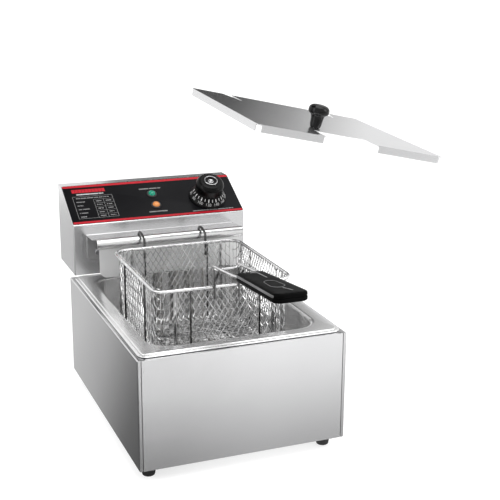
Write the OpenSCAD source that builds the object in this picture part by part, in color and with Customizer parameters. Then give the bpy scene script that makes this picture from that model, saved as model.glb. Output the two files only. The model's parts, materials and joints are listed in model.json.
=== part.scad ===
// Counter-top electric deep fryer: a sheet-steel housing on rubber feet, a lift-out oil tank,
// a lift-off control head with its heating element, a wire basket and a loose lid.
// Millimetres. +X is to the user's right, +Y is to the back, +Z is up.
// The origin is on the table, below the middle of the housing.

/* [Housing] */
// Width of the housing
body_w = 276; // [272:1:282]
// Depth of the housing
body_d = 356; // [352:1:362]
// Height of the housing without its feet
body_h = 144.4; // [142:0.2:148]
// Height of the rubber feet below the housing
foot_h = 17.4; // [15:0.2:20]
// Thickness of the housing sheet
sheet = 1; // [0.8:0.1:1.2]

/* [Oil tank] */
// Gap from the housing's outline to the flange of the tank
flange_inset = 5.4; // [5:0.1:6]
// Width of the flange around the tank's opening
flange_w = 21; // [20:0.5:23]
// Corner radius of the tank's opening
tank_corner = 34; // [30:1:38]
// Depth of the tank below its flange
tank_deep = 120; // [118:1:122]

/* [Control head] */
// Width of the head
head_w = 266; // [264:1:268]
// Height of the head's upright front
head_front_h = 75.4; // [74:0.2:77]
// Height of the head at its flat top
head_h = 117.9; // [117:0.1:119]
// Depth of the sloping panel, seen from above
panel_run = 76; // [75:0.5:77]
// Depth of the flat strip behind the panel
top_strip = 20; // [18:0.5:22]
// Distance of the dial from the middle, to the right of the lamps
dial_x = 84.7; // [80:0.1:88]

/* [Basket] */
// Outer width of the basket's rim
basket_w = 190.8; // [188:0.2:192]
// Outer length of the basket's rim
basket_l = 207.3; // [205:0.1:208]
// Height of the top of the rim, with the basket hung up to drain
rim_z = 221.5; // [221:0.1:223]
// Depth of the mesh below the rim
basket_deep = 115; // [110:1:116]
// Sideways distance of each handle wire from the middle
handle_x = 16.5; // [16:0.1:17]

/* [Lid] */
// Width of the lid
lid_w = 262; // [258:1:264]
// Depth of the lid
lid_d = 245; // [242:1:247]
// Height of the lid's folded edge
lid_skirt = 9.4; // [8:0.2:10]

/* [Hidden] */

$fn = 48;
fit_gap = 0.1;
wire_sides = 10;
bend_steps = 4;
weld_gap = 0.1;

// housing
body_top = foot_h + body_h;
lip = 10;
corner_return = 4.6;
panel_gap = 0.8;
foot_x = 119.5;
foot_y = body_d/2 - 25;
foot_top = foot_h + sheet;
foot_r_low = 7.5;
foot_r_high = 11;
foot_neck_r = 8.2;
foot_sole_r = 5.4;
foot_recess = 4;
screw_r = 2.5;
screw_hole_r = 2.8;
small_screw_r = 2.1;
small_hole_r = 2.2;
thread_gap = 0.05;
pad_t = 0.7;

// oil tank
tank_sheet = 1;
flange_z = body_top + 3.2;
flange_step = 4.4;
flange_step_h = 1.6;
flange_low = body_top + 0.8;
flange_out_w = body_w - 2*flange_inset;
flange_out_d = body_d - 2*flange_inset;
tank_w = flange_out_w - 2*flange_w;
tank_d = flange_out_d - 2*flange_w - 1;
tank_floor = flange_z - tank_deep;

// control head, with the slope's own frame: x sideways, s up the slope, h out of it
head_z = foot_h + 150.2;
head_y = body_d/2 - 12;
head_back = head_y + panel_run + top_strip;
head_top = head_z + head_h;
slope_z = head_z + head_front_h;
slope_a = atan2(head_h - head_front_h, panel_run);
slope_len = norm([panel_run, head_h - head_front_h]);
dial_s = 36.8;
lamp_s = [28.4, 53.7];
overlay_t = 0.8;
bracket_top = head_z - fit_gap;
bracket_low = 112;
bracket_t = 1.5;
bracket_screw_x = [-50, 50];
bracket_screw_z = [122, 150];
pin_x = 40;
pin_y = body_d/2 + 13;
pin_r = 4;
pin_h = 8;

// dial and thermostat
shaft_r = 3;
shaft_run = 0.05;
dial_r = 28.7;
dial_edge_h = 3.6;
dial_scale_h = 15.5;
dial_lift = 1.6;
grip_r = 21.6;
dial_top = 34;
cap_r = 10.6;
stat_w = 44;
stat_l = 48;
stat_deep = 26;
stat_h = -2.4;

// parts at the back of the head
gland_x = 84;
gland_z = head_z + 26;
gland_bore_r = 4.3;
gland_thread_r = 8;
gland_length = 30;
reset_x = -72;
reset_z = head_z + 44;
reset_r = 3.5;

// terminal block and the wires from it
terminal_x = 1;
terminal_y = 226;
terminal_pitch = 12;
lead_r = 1.5;

// heating element
tube_r = 4.2;
element_z = tank_floor + 12.5;
element_leg_y = 138;
element_exit_z = head_z + 20;
leg_x = [36, 13];
loop_x = [78, 30];
loop_front = [-128, -86];
bulb_x = [52, -52];
bulb_r = 3;
bulb_z = element_z + 11;
capillary_r = 1.1;

// basket hanger
hanger_z = 226;
hanger_w = 228;
nose_r = 7.5;
nose_y = 118.6;
nose_z = 224.5;
nose_w = 222;
slot_y = 126.5;
slot_w = 6;
slot_l = 140;
hanger_t = 1.2;
hanger_low = 190;
hanger_screw_x = [-98, 98];
hanger_screw_z = hanger_low + 10;
guard_w = 214;
guard_low = 174;
guard_r = 12;

// basket
rim_r = 2.4;
mesh_t = 0.8;
rim_corner = 22;
basket_y = -6.95;
rim_w = basket_w - 2*rim_r;
rim_l = basket_l - 2*rim_r;
rim_cz = rim_z - rim_r;
mesh_w = rim_w - 2*rim_r - 2*weld_gap;
mesh_l = rim_l - 2*rim_r - 2*weld_gap;
mesh_floor = rim_z - basket_deep;
frame_r = 1.5;
frame_x = 47;
frame_y = [-55, 38];
hook_x = 46;
hook_r = 1.8;
rim_front = basket_y - basket_l/2;
rim_back = basket_y + basket_l/2;

// basket handle
wire_r = 2;
wire_end = [-107.5, 246];
grip_rear = [-187, 254.4];
grip_len = 127;
grip_w_rear = 35;
grip_w_front = 42;
grip_t = 11;
grip_a = 5.3;
grip_round = 10;
grip_socket = 96;
grip_screw_at = [32, 92];

// lid, held above the tank and tipped
lid_t = 1;
lid_at = [149.5, -37.1, 410.25];
lid_axis = [3.34, 12.38, -0.03];
notch = [-39, 35];
notch_deep = 35.5;
lid_slot_x = 71;
lid_slot_y = 80.5;
knob_at = [-26, -62];
knob_hole_r = 3;

// ---- shapes used by several sub-parts ----

// Rounded rectangle, centred, from true arcs
module rounded_rect(w, d, r) {
    square([w - 2*r, d], center = true);
    square([w, d - 2*r], center = true);
    for (x = [-1, 1], y = [-1, 1])
        translate([x*(w/2 - r), y*(d/2 - r)]) circle(r);
}

// Rounded rectangular ring with a wall t inside its outline
module rounded_ring(w, d, r, t) {
    difference() {
        rounded_rect(w, d, r);
        rounded_rect(w - 2*t, d - 2*t, r - t);
    }
}

// Round bar from point a to point b
module rod(a, b, r) {
    v = b - a;
    translate(a)
        rotate([0, acos(v.z/norm(v)), atan2(v.y, v.x)])
            cylinder(h = norm(v), r = r);
}

// Round bar bent square through a list of points, with a ball at each bend
module wire(points, r) {
    for (i = [0 : len(points) - 2]) rod(points[i], points[i + 1], r);
    for (i = [1 : len(points) - 2]) translate(points[i]) sphere(r);
}

function unit(v) = v/norm(v);

// Point on the curve from a to b that is pulled towards the corner c
function bend_point(a, c, b, u) = (1 - u)*(1 - u)*a + 2*u*(1 - u)*c + u*u*b;

// The same list of points with each inner corner replaced by a curve that starts d before it
function rounded(p, d) = [
    for (i = [0 : len(p) - 1])
        each (i == 0 || i == len(p) - 1) ? [p[i]] :
            let (
                back = p[i - 1] - p[i],
                ahead = p[i + 1] - p[i],
                a = p[i] + min(d, 0.48*norm(back))*unit(back),
                b = p[i] + min(d, 0.48*norm(ahead))*unit(ahead)
            )
            [for (k = [0 : bend_steps]) bend_point(a, p[i], b, k/bend_steps)]
];

// Direction of travel at each point of a path
function headings(p) = [
    for (i = [0 : len(p) - 1]) unit(p[min(i + 1, len(p) - 1)] - p[max(i - 1, 0)])
];

// A direction across the path at each point, carried along without twisting
function sideways(t, start) = [
    for (i = 0, v = start; i < len(t);
        i = i + 1, v = unit(v - (v*t[min(i, len(t) - 1)])*t[min(i, len(t) - 1)])) v
];

// Any direction square to v
function square_to(v) = unit(cross(v, abs(v.z) < 0.9 ? [0, 0, 1] : [1, 0, 0]));

// Round bar swept along a smooth path
module swept(path, r) {
    t = headings(path);
    n = sideways(t, square_to(t[0]));
    last = len(path) - 1;
    rings = [
        for (i = [0 : last], k = [0 : wire_sides - 1])
            let (a = 360*k/wire_sides) path[i] + r*(cos(a)*n[i] + sin(a)*cross(t[i], n[i]))
    ];
    polyhedron(rings, concat(
        [[for (k = [0 : wire_sides - 1]) k]],
        [for (i = [0 : last - 1], k = [0 : wire_sides - 1])
            let (m = (k + 1) % wire_sides)
            [i*wire_sides + k, (i + 1)*wire_sides + k, (i + 1)*wire_sides + m, i*wire_sides + m]],
        [[for (k = [wire_sides - 1 : -1 : 0]) last*wire_sides + k]]
    ));
}

// Round bar bent through a list of points, with bends that start d before each corner
module bent(points, r, d = 6) { swept(rounded(points, d), r); }

// Profile in the plane of depth and height, extruded sideways about the middle
module across(w) {
    translate([-w/2, 0, 0]) rotate([90, 0, 90]) linear_extrude(w) children();
}

// Places children on the sloping panel
module on_slope(x, s, h = 0) {
    translate([x, head_y, slope_z]) rotate([slope_a, 0, 0]) translate([0, s, h]) children();
}

// Places children at all four feet
module at_feet() {
    for (x = [-1, 1], y = [-1, 1]) translate([x*foot_x, y*foot_y, 0]) children();
}

// Pan-head screw along +Z, its head's underside at the origin and its shank below
module screw(r, length, head_r, head_h) {
    translate([0, 0, -length]) cylinder(h = length, r = r);
    difference() {
        cylinder(h = head_h, r = head_r);
        translate([0, 0, head_h/2]) cube([head_r*1.3, r*0.5, head_h + 0.1], center = true);
        translate([0, 0, head_h/2]) cube([r*0.5, head_r*1.3, head_h + 0.1], center = true);
    }
}

// The size of screw that the bracket and the hanger share
module small_screw() { screw(small_screw_r, 8, 3.8, 2); }

// Hexagonal nut with a round hole
module nut(flats, hole_r, h) {
    difference() {
        cylinder(h = h, r = flats/sqrt(3), $fn = 6);
        translate([0, 0, -1]) cylinder(h = h + 2, r = hole_r);
    }
}

// ---- housing ----

// Side of the housing: folded in along its top and bottom, and round the front corner
module side_panel() {
    x0 = body_w/2;
    y0 = -body_d/2;
    edge = sheet + 0.2;
    translate([x0 - sheet, y0, foot_h]) cube([sheet, body_d - edge, body_h]);
    for (z = [foot_h, body_top - sheet])
        translate([x0 - lip, y0 + edge, z]) cube([lip, body_d - 2*edge, sheet]);
    translate([x0 - corner_return, y0, foot_h]) cube([corner_return, sheet, body_h]);
}

module side_panel_left() { color("gainsboro") mirror([1, 0, 0]) side_panel(); }

module side_panel_right() { color("gainsboro") side_panel(); }

module front_panel() {
    w = body_w - 2*(corner_return + panel_gap);
    inner = body_w - 2*lip - 1;
    color("whitesmoke") {
        translate([-w/2, -body_d/2, foot_h]) cube([w, sheet, body_h]);
        for (z = [foot_h, body_top - sheet])
            translate([-inner/2, -body_d/2, z]) cube([inner, lip, sheet]);
    }
}

module rear_panel() {
    w = body_w - 0.2;
    slots = 5;
    color("gainsboro") difference() {
        translate([-w/2, body_d/2 - sheet, foot_h + sheet + 0.1])
            cube([w, sheet, body_h - sheet - 0.1]);
        for (i = [0 : slots - 1], x = [-75, 75])
            translate([x, body_d/2, foot_h + 24 + i*9]) cube([50, 3, 3.5], center = true);
        bracket_holes();
    }
}

module bottom_plate() {
    w = body_w - 2*sheet - 0.4;
    d = body_d - 2*sheet - 0.4;
    color("silver") difference() {
        translate([-w/2, -d/2, foot_top]) cube([w, d, sheet]);
        for (x = [-80 : 40 : 80], y = [-90, 0, 90])
            translate([x, y, foot_top]) cube([6, 60, 4], center = true);
        at_feet() translate([0, 0, foot_top - 1]) cylinder(h = 3, r = screw_hole_r);
    }
}

module feet() {
    color("#202020") at_feet() rotate_extrude()
        polygon([
            [screw_hole_r, foot_recess], [screw_hole_r, foot_top], [foot_neck_r, foot_top],
            [foot_neck_r, foot_h - fit_gap], [foot_r_high, foot_h - fit_gap],
            [foot_r_high, foot_h - 3], [foot_r_low + 0.6, 0.6], [foot_r_low, 0],
            [foot_sole_r, 0], [foot_sole_r, foot_recess]
        ]);
}

module foot_screws() {
    length = foot_top - foot_recess + sheet + 6;
    color("silver") at_feet() translate([0, 0, foot_recess]) mirror([0, 0, 1])
        screw(screw_r, length, 4.6, 2.6);
}

module foot_nuts() {
    color("silver") at_feet() translate([0, 0, foot_top + sheet]) nut(8, screw_r + thread_gap, 4);
}

module tank_pads() {
    color("#303030") for (x = [-1, 1], y = [-1, 1])
        translate([x*(body_w/2 - lip/2 - 3), y*(body_d/2 - 60), body_top + pad_t/2])
            cube([4, 30, pad_t], center = true);
}

module bracket_holes() {
    for (x = bracket_screw_x, z = bracket_screw_z)
        translate([x, body_d/2 - 4, z]) rotate([-90, 0, 0]) cylinder(h = 12, r = small_hole_r);
}

// Shelf on the back of the housing that the head's rear half rests on
module head_bracket() {
    w = 120;
    t = bracket_t;
    reach = 26;
    rib_end = 8;
    color("silver") {
        difference() {
            union() {
                translate([-w/2, body_d/2, bracket_low]) cube([w, t, bracket_top - bracket_low]);
                translate([-w/2, body_d/2, bracket_top - t]) cube([w, reach, t]);
                for (x = [-w/2, w/2 - t])
                    translate([x, 0, 0]) rotate([90, 0, 90]) linear_extrude(t)
                        polygon([
                            [body_d/2, bracket_low], [body_d/2, bracket_top],
                            [body_d/2 + reach, bracket_top],
                            [body_d/2 + reach, bracket_top - rib_end]
                        ]);
            }
            bracket_holes();
        }
        for (x = [-1, 1]) translate([x*pin_x, pin_y, bracket_top - t]) {
            cylinder(h = pin_h + t, r = pin_r);
            translate([0, 0, pin_h + t]) cylinder(h = 3, r1 = pin_r, r2 = pin_r - 1.5);
        }
    }
}

module bracket_screws() {
    color("silver") for (x = bracket_screw_x, z = bracket_screw_z)
        translate([x, body_d/2 + bracket_t, z]) rotate([-90, 0, 0]) small_screw();
}

// ---- oil tank ----

module oil_tank() {
    inner_w = flange_out_w - 2*flange_step;
    inner_d = flange_out_d - 2*flange_step;
    color("lightgray") {
        // low outer edge of the flange
        translate([0, 0, flange_low]) linear_extrude(flange_z - flange_step_h - flange_low)
            rounded_ring(flange_out_w, flange_out_d, 11, flange_step + tank_sheet);
        // step up to the flat of the flange
        translate([0, 0, flange_low]) linear_extrude(flange_z - flange_low)
            rounded_ring(inner_w, inner_d, 8, tank_sheet);
        translate([0, 0, flange_z - tank_sheet]) linear_extrude(tank_sheet) difference() {
            rounded_rect(inner_w, inner_d, 8);
            rounded_rect(tank_w, tank_d, tank_corner);
        }
        // walls and floor of the well
        translate([0, 0, tank_floor]) linear_extrude(tank_deep)
            rounded_ring(tank_w + 2*tank_sheet, tank_d + 2*tank_sheet, tank_corner + tank_sheet,
                tank_sheet);
        translate([0, 0, tank_floor - tank_sheet]) linear_extrude(tank_sheet)
            rounded_rect(tank_w + 2*tank_sheet, tank_d + 2*tank_sheet, tank_corner + tank_sheet);
    }
}

// ---- control head ----

// Outline of the head from the side, moved in by t all round
module head_outline(t, back = 0) {
    drop = t/cos(slope_a);
    y1 = head_y + (head_top - t - slope_z + drop)/tan(slope_a);
    polygon([
        [head_y + t, head_z - back], [head_y + t, slope_z + t*tan(slope_a) - drop],
        [y1, head_top - t], [head_back + back, head_top - t], [head_back + back, head_z - back]
    ]);
}

module head_shell() {
    t = sheet;
    color("whitesmoke") difference() {
        across(head_w) head_outline(0);
        across(head_w - 2*t) head_outline(t, 5);
        for (s = lamp_s) on_slope(0, s, -5) cylinder(h = 10, r = 6.2);
        on_slope(dial_x, dial_s, -5) cylinder(h = 10, r = 5.2);
        for (x = leg_x, m = [-1, 1])
            translate([m*x, head_y - 3, element_exit_z]) rotate([-90, 0, 0])
                cylinder(h = 6, r = tube_r + 0.6);
        for (x = bulb_x)
            translate([x, head_y - 3, element_exit_z]) rotate([-90, 0, 0])
                cylinder(h = 6, r = 2.4);
        hanger_screw_holes();
    }
}

module hanger_screw_holes() {
    for (x = hanger_screw_x)
        translate([x, head_y - 3, hanger_screw_z]) rotate([-90, 0, 0])
            cylinder(h = 6, r = small_hole_r);
}

module head_base() {
    w = head_w - 2*sheet - 0.2;
    d = head_back - head_y - 2*sheet - 0.2;
    color("silver") difference() {
        translate([-w/2, head_y + sheet + 0.1, head_z]) cube([w, d, sheet]);
        for (x = [-1, 1]) translate([x*pin_x, pin_y, head_z - 1])
            cylinder(h = 3, r = pin_r + 0.5);
    }
}

// Cover that closes the back of the head, with five louvre slots in two rows
module head_back_cover() {
    w = head_w - 2*sheet - 0.2;
    color("gainsboro") difference() {
        translate([-w/2, head_back - sheet, head_z]) cube([w, sheet, head_h - sheet - 0.1]);
        for (x = [-55, 5], i = [0 : 4])
            translate([x, head_back - 2, head_z + 68 + i*8]) cube([46, 4, 3]);
        translate([gland_x, head_back - 3, gland_z]) rotate([-90, 0, 0])
            cylinder(h = 6, r = gland_thread_r + 0.3);
        translate([reset_x, head_back - 3, reset_z]) rotate([-90, 0, 0])
            cylinder(h = 6, r = 6.2);
        cover_screw_places() translate([0, 0, -4]) cylinder(h = 8, r = 1.7);
    }
}

module cover_screw_places() {
    for (x = [-124, 124], z = [head_z + 10, head_top - 12])
        translate([x, head_back, z]) rotate([-90, 0, 0]) children();
}

module cover_screws() {
    color("silver") cover_screw_places() screw(1.6, 8, 3.2, 1.8);
}

module control_overlay() {
    w = head_w - 1;
    color("#101014") on_slope(0, slope_len/2, 0) difference() {
        linear_extrude(overlay_t) square([w, slope_len - 2.4], center = true);
        for (s = lamp_s) translate([0, s - slope_len/2, -1]) cylinder(h = 3, r = 6.2);
        translate([dial_x, dial_s - slope_len/2, -1]) cylinder(h = 3, r = 5.2);
    }
}

// Domed lens with a collar that rests on the overlay
module lamp_lens() {
    rotate_extrude() polygon([
        [0, -8], [4.6, -8], [4.6, overlay_t + 0.1], [6, overlay_t + 0.1],
        [6, 2.4], [4.6, 4.2], [2.4, 5.4], [0, 5.8]
    ]);
}

module power_lamp() { color("#1fae7a") on_slope(0, lamp_s[1]) lamp_lens(); }

module heat_lamp() { color("#f0a04a") on_slope(0, lamp_s[0]) lamp_lens(); }

// Sockets that hold the lenses from behind, each with two tabs
module lamp_housings() {
    color("#262626") for (s = lamp_s) on_slope(0, s) {
        difference() {
            translate([0, 0, -20]) cylinder(h = 20 - sheet - 0.1, r = 8);
            translate([0, 0, -8.1]) cylinder(h = 10, r = 4.7);
        }
        for (x = [-3, 3]) translate([x - 0.4, -2, -27]) cube([0.8, 4, 7]);
    }
}

module thermostat_body() {
    color("#d8d2c4") on_slope(dial_x, dial_s, stat_h) difference() {
        union() {
            translate([-stat_w/2, -stat_l/2, -stat_deep]) cube([stat_w, stat_l, stat_deep]);
            for (x = [-12, 0, 12]) translate([x - 3, -8, -stat_deep - 7]) cube([6, 1, 7]);
        }
        translate([0, 0, -14]) cylinder(h = 20, r = shaft_r + shaft_run);
    }
}

module thermostat_shaft() {
    color("silver") on_slope(dial_x, dial_s, stat_h) translate([0, 0, -12.4]) difference() {
        cylinder(h = 34, r = shaft_r);
        translate([shaft_r*0.5, -5, 22]) cube([10, 10, 20]);
    }
}

// Round dial: a conical scale below a thick grip with a shallow waist
module dial() {
    color("#121212") on_slope(dial_x, dial_s) difference() {
        rotate_extrude() polygon([
            [0, dial_lift + 6], [6, dial_lift + 6], [6, dial_lift], [dial_r - 1, dial_lift],
            [dial_r, dial_lift + 0.8], [dial_r, dial_edge_h],
            [grip_r - 0.4, dial_scale_h], [grip_r - 0.6, 20], [grip_r, dial_top - 1.5],
            [grip_r - 1.5, dial_top], [cap_r, dial_top], [cap_r, dial_top - 1.4],
            [0, dial_top - 1.4]
        ]);
        // hole for the flatted shaft
        difference() {
            cylinder(h = 19.4, r = shaft_r + 0.02);
            translate([shaft_r*0.5 + 0.02, -5, -1]) cube([10, 10, 30]);
        }
    }
}

// Bright cap set into the top of the dial
module dial_cap() {
    color("silver") on_slope(dial_x, dial_s, dial_top - 1.4) rotate_extrude() polygon([
        [0, 0], [cap_r - 0.05, 0], [cap_r - 0.05, 2.6], [cap_r - 1.2, 3.2], [cap_r - 2.2, 2.6],
        [cap_r - 2.8, 1], [4, 1.4], [0, 2]
    ]);
}

// Thin copper tubes from the two thermostats, through the head's front, down to the bulbs
module sensor_capillaries() {
    color("#b87333") {
        bent([
            [bulb_x[0], 205, 225], [bulb_x[0], 200, 206], [bulb_x[0], 190, element_exit_z],
            [bulb_x[0], 146, element_exit_z], [bulb_x[0], 128, element_exit_z - 16],
            [bulb_x[0], 128, bulb_z + 8], [bulb_x[0], 120, bulb_z], [bulb_x[0], 106, bulb_z]
        ], capillary_r, 8);
        bent([
            [bulb_x[1], 240, 212], [bulb_x[1], 205, 206], [bulb_x[1], 190, element_exit_z],
            [bulb_x[1], 146, element_exit_z], [bulb_x[1], 128, element_exit_z - 16],
            [bulb_x[1], 128, bulb_z + 8], [bulb_x[1], 120, bulb_z], [bulb_x[1], 106, bulb_z]
        ], capillary_r, 8);
    }
}

module sensor_bulbs() {
    color("#b87333") for (x = bulb_x) translate([x, 106, bulb_z]) rotate([90, 0, 0]) {
        cylinder(h = 88, r = bulb_r);
        translate([0, 0, 88]) sphere(bulb_r);
    }
}

module limit_thermostat() {
    color("#d8d2c4") translate([reset_x, head_back - sheet - 0.1, reset_z]) rotate([90, 0, 0]) {
        difference() {
            cylinder(h = 18, r = 13);
            translate([0, 0, -1]) cylinder(h = 7, r = reset_r + 0.3);
        }
        for (x = [-8, 8]) translate([x - 3, -0.5, 18]) cube([6, 1, 7]);
    }
}

module reset_bezel() {
    color("#1c1c1c") translate([reset_x, head_back, reset_z]) rotate([-90, 0, 0]) difference() {
        union() {
            cylinder(h = 3, r1 = 9, r2 = 8);
            translate([0, 0, -sheet]) cylinder(h = sheet + 1, r = 6.1);
        }
        translate([0, 0, -3]) cylinder(h = 9, r = reset_r + 0.08);
    }
}

module reset_button() {
    color("#b02020") translate([reset_x, head_back, reset_z]) rotate([-90, 0, 0]) {
        translate([0, 0, -3.4]) cylinder(h = 8.4, r = reset_r);
        translate([0, 0, 5]) cylinder(h = 0.8, r1 = reset_r, r2 = reset_r - 0.8);
    }
}

module terminal_block() {
    color("#ece6d8") difference() {
        translate([terminal_x - 7, terminal_y, head_z + sheet])
            cube([5*terminal_pitch + 2, 20, 18]);
        for (i = [0 : 4])
            translate([terminal_x + i*terminal_pitch, terminal_y + 10, head_z + sheet + 6])
                cylinder(h = 20, r = 3.4);
    }
}

module interlock_switch() {
    color("#2c2c30") {
        translate([96, 182, head_z + sheet]) cube([10, 28, 16]);
        translate([98, 186, head_z + sheet + 16]) rotate([8, 0, 0]) cube([6, 24, 0.8]);
    }
}

// Four insulated wires that run over the base plate
module internal_leads() {
    z = head_z + sheet + 2*lead_r;
    color("#8a2a1a") for (i = [0 : 3]) {
        start = terminal_x + i*terminal_pitch;
        run_y = terminal_y - 9 - i*4;
        end = i*8 - 48;
        bent([
            [start, terminal_y - 1, z], [start, run_y, z], [end, run_y, z],
            [end, 199, z], [end, 199, z + 12]
        ], lead_r, 5);
    }
}

// ---- heating element ----

module heating_element() {
    color("#8c8c90") for (i = [0, 1]) {
        lx = leg_x[i];
        bx = loop_x[i];
        half = [
            [lx, head_y + 14, element_exit_z], [lx, element_leg_y, element_exit_z],
            [lx, element_leg_y, element_z], [lx, 112, element_z], [bx, 92, element_z],
            [bx, loop_front[i], element_z]
        ];
        other = [for (k = [len(half) - 1 : -1 : 0]) [-half[k].x, half[k].y, half[k].z]];
        bent(concat(half, other), tube_r, 14);
    }
}

module element_flange() {
    color("silver") difference() {
        translate([-62, head_y - 1.5, element_exit_z - 11]) cube([124, 1.5, 22]);
        for (x = leg_x, m = [-1, 1])
            translate([m*x, head_y - 3, element_exit_z]) rotate([-90, 0, 0])
                cylinder(h = 6, r = tube_r + 0.1);
        for (x = bulb_x)
            translate([x, head_y - 3, element_exit_z]) rotate([-90, 0, 0])
                cylinder(h = 6, r = capillary_r + 0.2);
    }
}

module element_nuts() {
    color("#c8a24a") for (x = leg_x, m = [-1, 1])
        translate([m*x, head_y + sheet, element_exit_z]) rotate([-90, 0, 0])
            nut(15, tube_r + 0.1, 6);
}

module element_tabs() {
    color("silver") for (x = leg_x, m = [-1, 1])
        translate([m*x - 3.2, head_y + 14, element_exit_z - 0.5]) cube([6.4, 10, 1]);
}

// Flat bars that tie the element's runs together below them
module element_clips() {
    color("silver") for (y = [70, -60])
        translate([-loop_x[0] - 5, y - 5, element_z - tube_r - 1.3])
            cube([2*loop_x[0] + 10, 10, 1.2]);
}

// ---- basket hanger ----

module basket_hanger() {
    rib_z = hanger_z + 1.4;
    cutout_w = 132;
    color("gainsboro") {
        difference() {
            across(hanger_w) {
                translate([head_y - hanger_t, hanger_low])
                    square([hanger_t, hanger_z + hanger_t - hanger_low]);
                polygon([
                    [head_y, hanger_z], [head_y, hanger_z + hanger_t],
                    [slot_y + slot_w, rib_z + hanger_t], [slot_y + slot_w, rib_z]
                ]);
            }
            // clears the element and its flange
            translate([-cutout_w/2, head_y - 4, hanger_low - 1])
                cube([cutout_w, 8, element_exit_z + 13 - hanger_low]);
            hanger_screw_holes();
        }
        // end ribs that carry the nose past the slot
        for (m = [-1, 1]) translate([m*(slot_l + nose_w)/4, 0, 0])
            across((nose_w - slot_l)/2) polygon([
                [slot_y + slot_w + 2, rib_z - 0.2], [slot_y + slot_w + 2, rib_z + hanger_t - 0.2],
                [slot_y - 2, nose_z + nose_r], [slot_y - 2, nose_z + nose_r - hanger_t]
            ]);
        across(nose_w) difference() {
            union() {
                translate([nose_y, nose_z]) circle(nose_r);
                translate([nose_y, nose_z - nose_r]) square([slot_y - nose_y, hanger_t]);
                translate([nose_y, nose_z + nose_r - hanger_t])
                    square([slot_y - nose_y - 1, hanger_t]);
            }
            translate([nose_y, nose_z]) circle(nose_r - hanger_t);
            translate([nose_y, nose_z - nose_r + hanger_t])
                square([10, 2*(nose_r - hanger_t)]);
        }
    }
}

// Plate below the nose that keeps the basket off the element's legs
module element_guard() {
    top = nose_z - nose_r;
    color("gainsboro") translate([0, nose_y + hanger_t, 0]) rotate([90, 0, 0])
        linear_extrude(hanger_t) {
            translate([-guard_w/2, guard_low + guard_r])
                square([guard_w, top - guard_low - guard_r]);
            translate([-guard_w/2 + guard_r, guard_low]) square([guard_w - 2*guard_r, guard_r + 1]);
            for (x = [-1, 1])
                translate([x*(guard_w/2 - guard_r), guard_low + guard_r]) circle(guard_r);
        }
}

module hanger_screws() {
    color("silver") for (x = hanger_screw_x)
        translate([x, head_y - hanger_t, hanger_screw_z]) rotate([90, 0, 0]) small_screw();
}

// ---- cable gland ----

module cable_gland() {
    color("#1a1a1a") translate([gland_x, head_back + 14, gland_z]) rotate([90, 0, 0])
        difference() {
            union() {
                translate([0, 0, 8]) cylinder(h = 6, r = 19/sqrt(3), $fn = 6);
                cylinder(h = 8, r = 8.6);
                translate([0, 0, 14]) cylinder(h = gland_length - 14, r = gland_thread_r);
            }
            translate([0, 0, -1]) cylinder(h = gland_length + 2, r = gland_bore_r);
        }
}

module gland_nut() {
    color("#1a1a1a") translate([gland_x, head_back - sheet, gland_z]) rotate([90, 0, 0])
        nut(20, gland_thread_r + thread_gap, 5);
}

// ---- basket ----

// Open-topped mesh shell; the weave itself is far finer than this wall
module basket_mesh() {
    color("silver") translate([0, basket_y, mesh_floor]) {
        linear_extrude(basket_deep - 1)
            rounded_ring(mesh_w, mesh_l, rim_corner - rim_r, mesh_t);
        linear_extrude(mesh_t) rounded_rect(mesh_w, mesh_l, rim_corner - rim_r);
    }
}

module basket_rim() {
    color("silver") translate([0, basket_y, rim_cz]) {
        for (m = [-1, 1]) {
            translate([m*rim_w/2, -rim_l/2 + rim_corner, 0]) rotate([-90, 0, 0])
                cylinder(h = rim_l - 2*rim_corner, r = rim_r);
            translate([-rim_w/2 + rim_corner, m*rim_l/2, 0]) rotate([0, 90, 0])
                cylinder(h = rim_w - 2*rim_corner, r = rim_r);
        }
        for (q = [0 : 3]) {
            sx = (q == 0 || q == 3) ? 1 : -1;
            sy = q < 2 ? 1 : -1;
            translate([sx*(rim_w/2 - rim_corner), sy*(rim_l/2 - rim_corner), 0])
                rotate([0, 0, 90*q]) rotate_extrude(angle = 90)
                    translate([rim_corner, 0]) circle(rim_r);
        }
    }
}

// Stiffening wires outside the mesh: two run front to back and two run side to side
module basket_frame() {
    out_y = mesh_l/2 + frame_r + weld_gap;
    out_x = mesh_w/2 + frame_r + weld_gap;
    low = mesh_floor - frame_r - weld_gap;
    top = rim_cz - rim_r - weld_gap;
    color("silver") {
        for (x = [-frame_x, frame_x]) wire([
            [x, basket_y - out_y, top], [x, basket_y - out_y, low],
            [x, basket_y + out_y, low], [x, basket_y + out_y, top]
        ], frame_r);
        for (y = frame_y) wire([
            [-out_x, y, top], [-out_x, y, low], [out_x, y, low], [out_x, y, top]
        ], frame_r);
    }
}

// Two wire hooks that hang over the nose of the hanger
module basket_hooks() {
    back = rim_back + hook_r + weld_gap;
    tip = slot_y + slot_w/2;
    color("silver") for (x = [-hook_x, hook_x]) bent([
        [x, back, rim_z - 24], [x, back, rim_z + 10], [x, nose_y - 5, rim_z + 15],
        [x, nose_y + 5, rim_z + 15], [x, tip, rim_z + 9], [x, tip, rim_z + 1]
    ], hook_r, 5);
}

// ---- basket handle ----

// Point along the grip's middle line, d behind its rear end
function along_grip(d) = [grip_rear.x - d*cos(grip_a), grip_rear.y + d*sin(grip_a)];

// One wire: out of the grip, back to the basket, across and out again
module handle_wire() {
    inside = along_grip(grip_socket);
    half = [
        [-handle_x, inside.x, inside.y], [-handle_x, grip_rear.x, grip_rear.y],
        [-handle_x, wire_end.x, wire_end.y], [-handle_x, wire_end.x + 1, wire_end.y - 5]
    ];
    other = [for (k = [len(half) - 1 : -1 : 0]) [-half[k].x, half[k].y, half[k].z]];
    color("silver") bent(concat(half, other), wire_r, 4);
}

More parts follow.
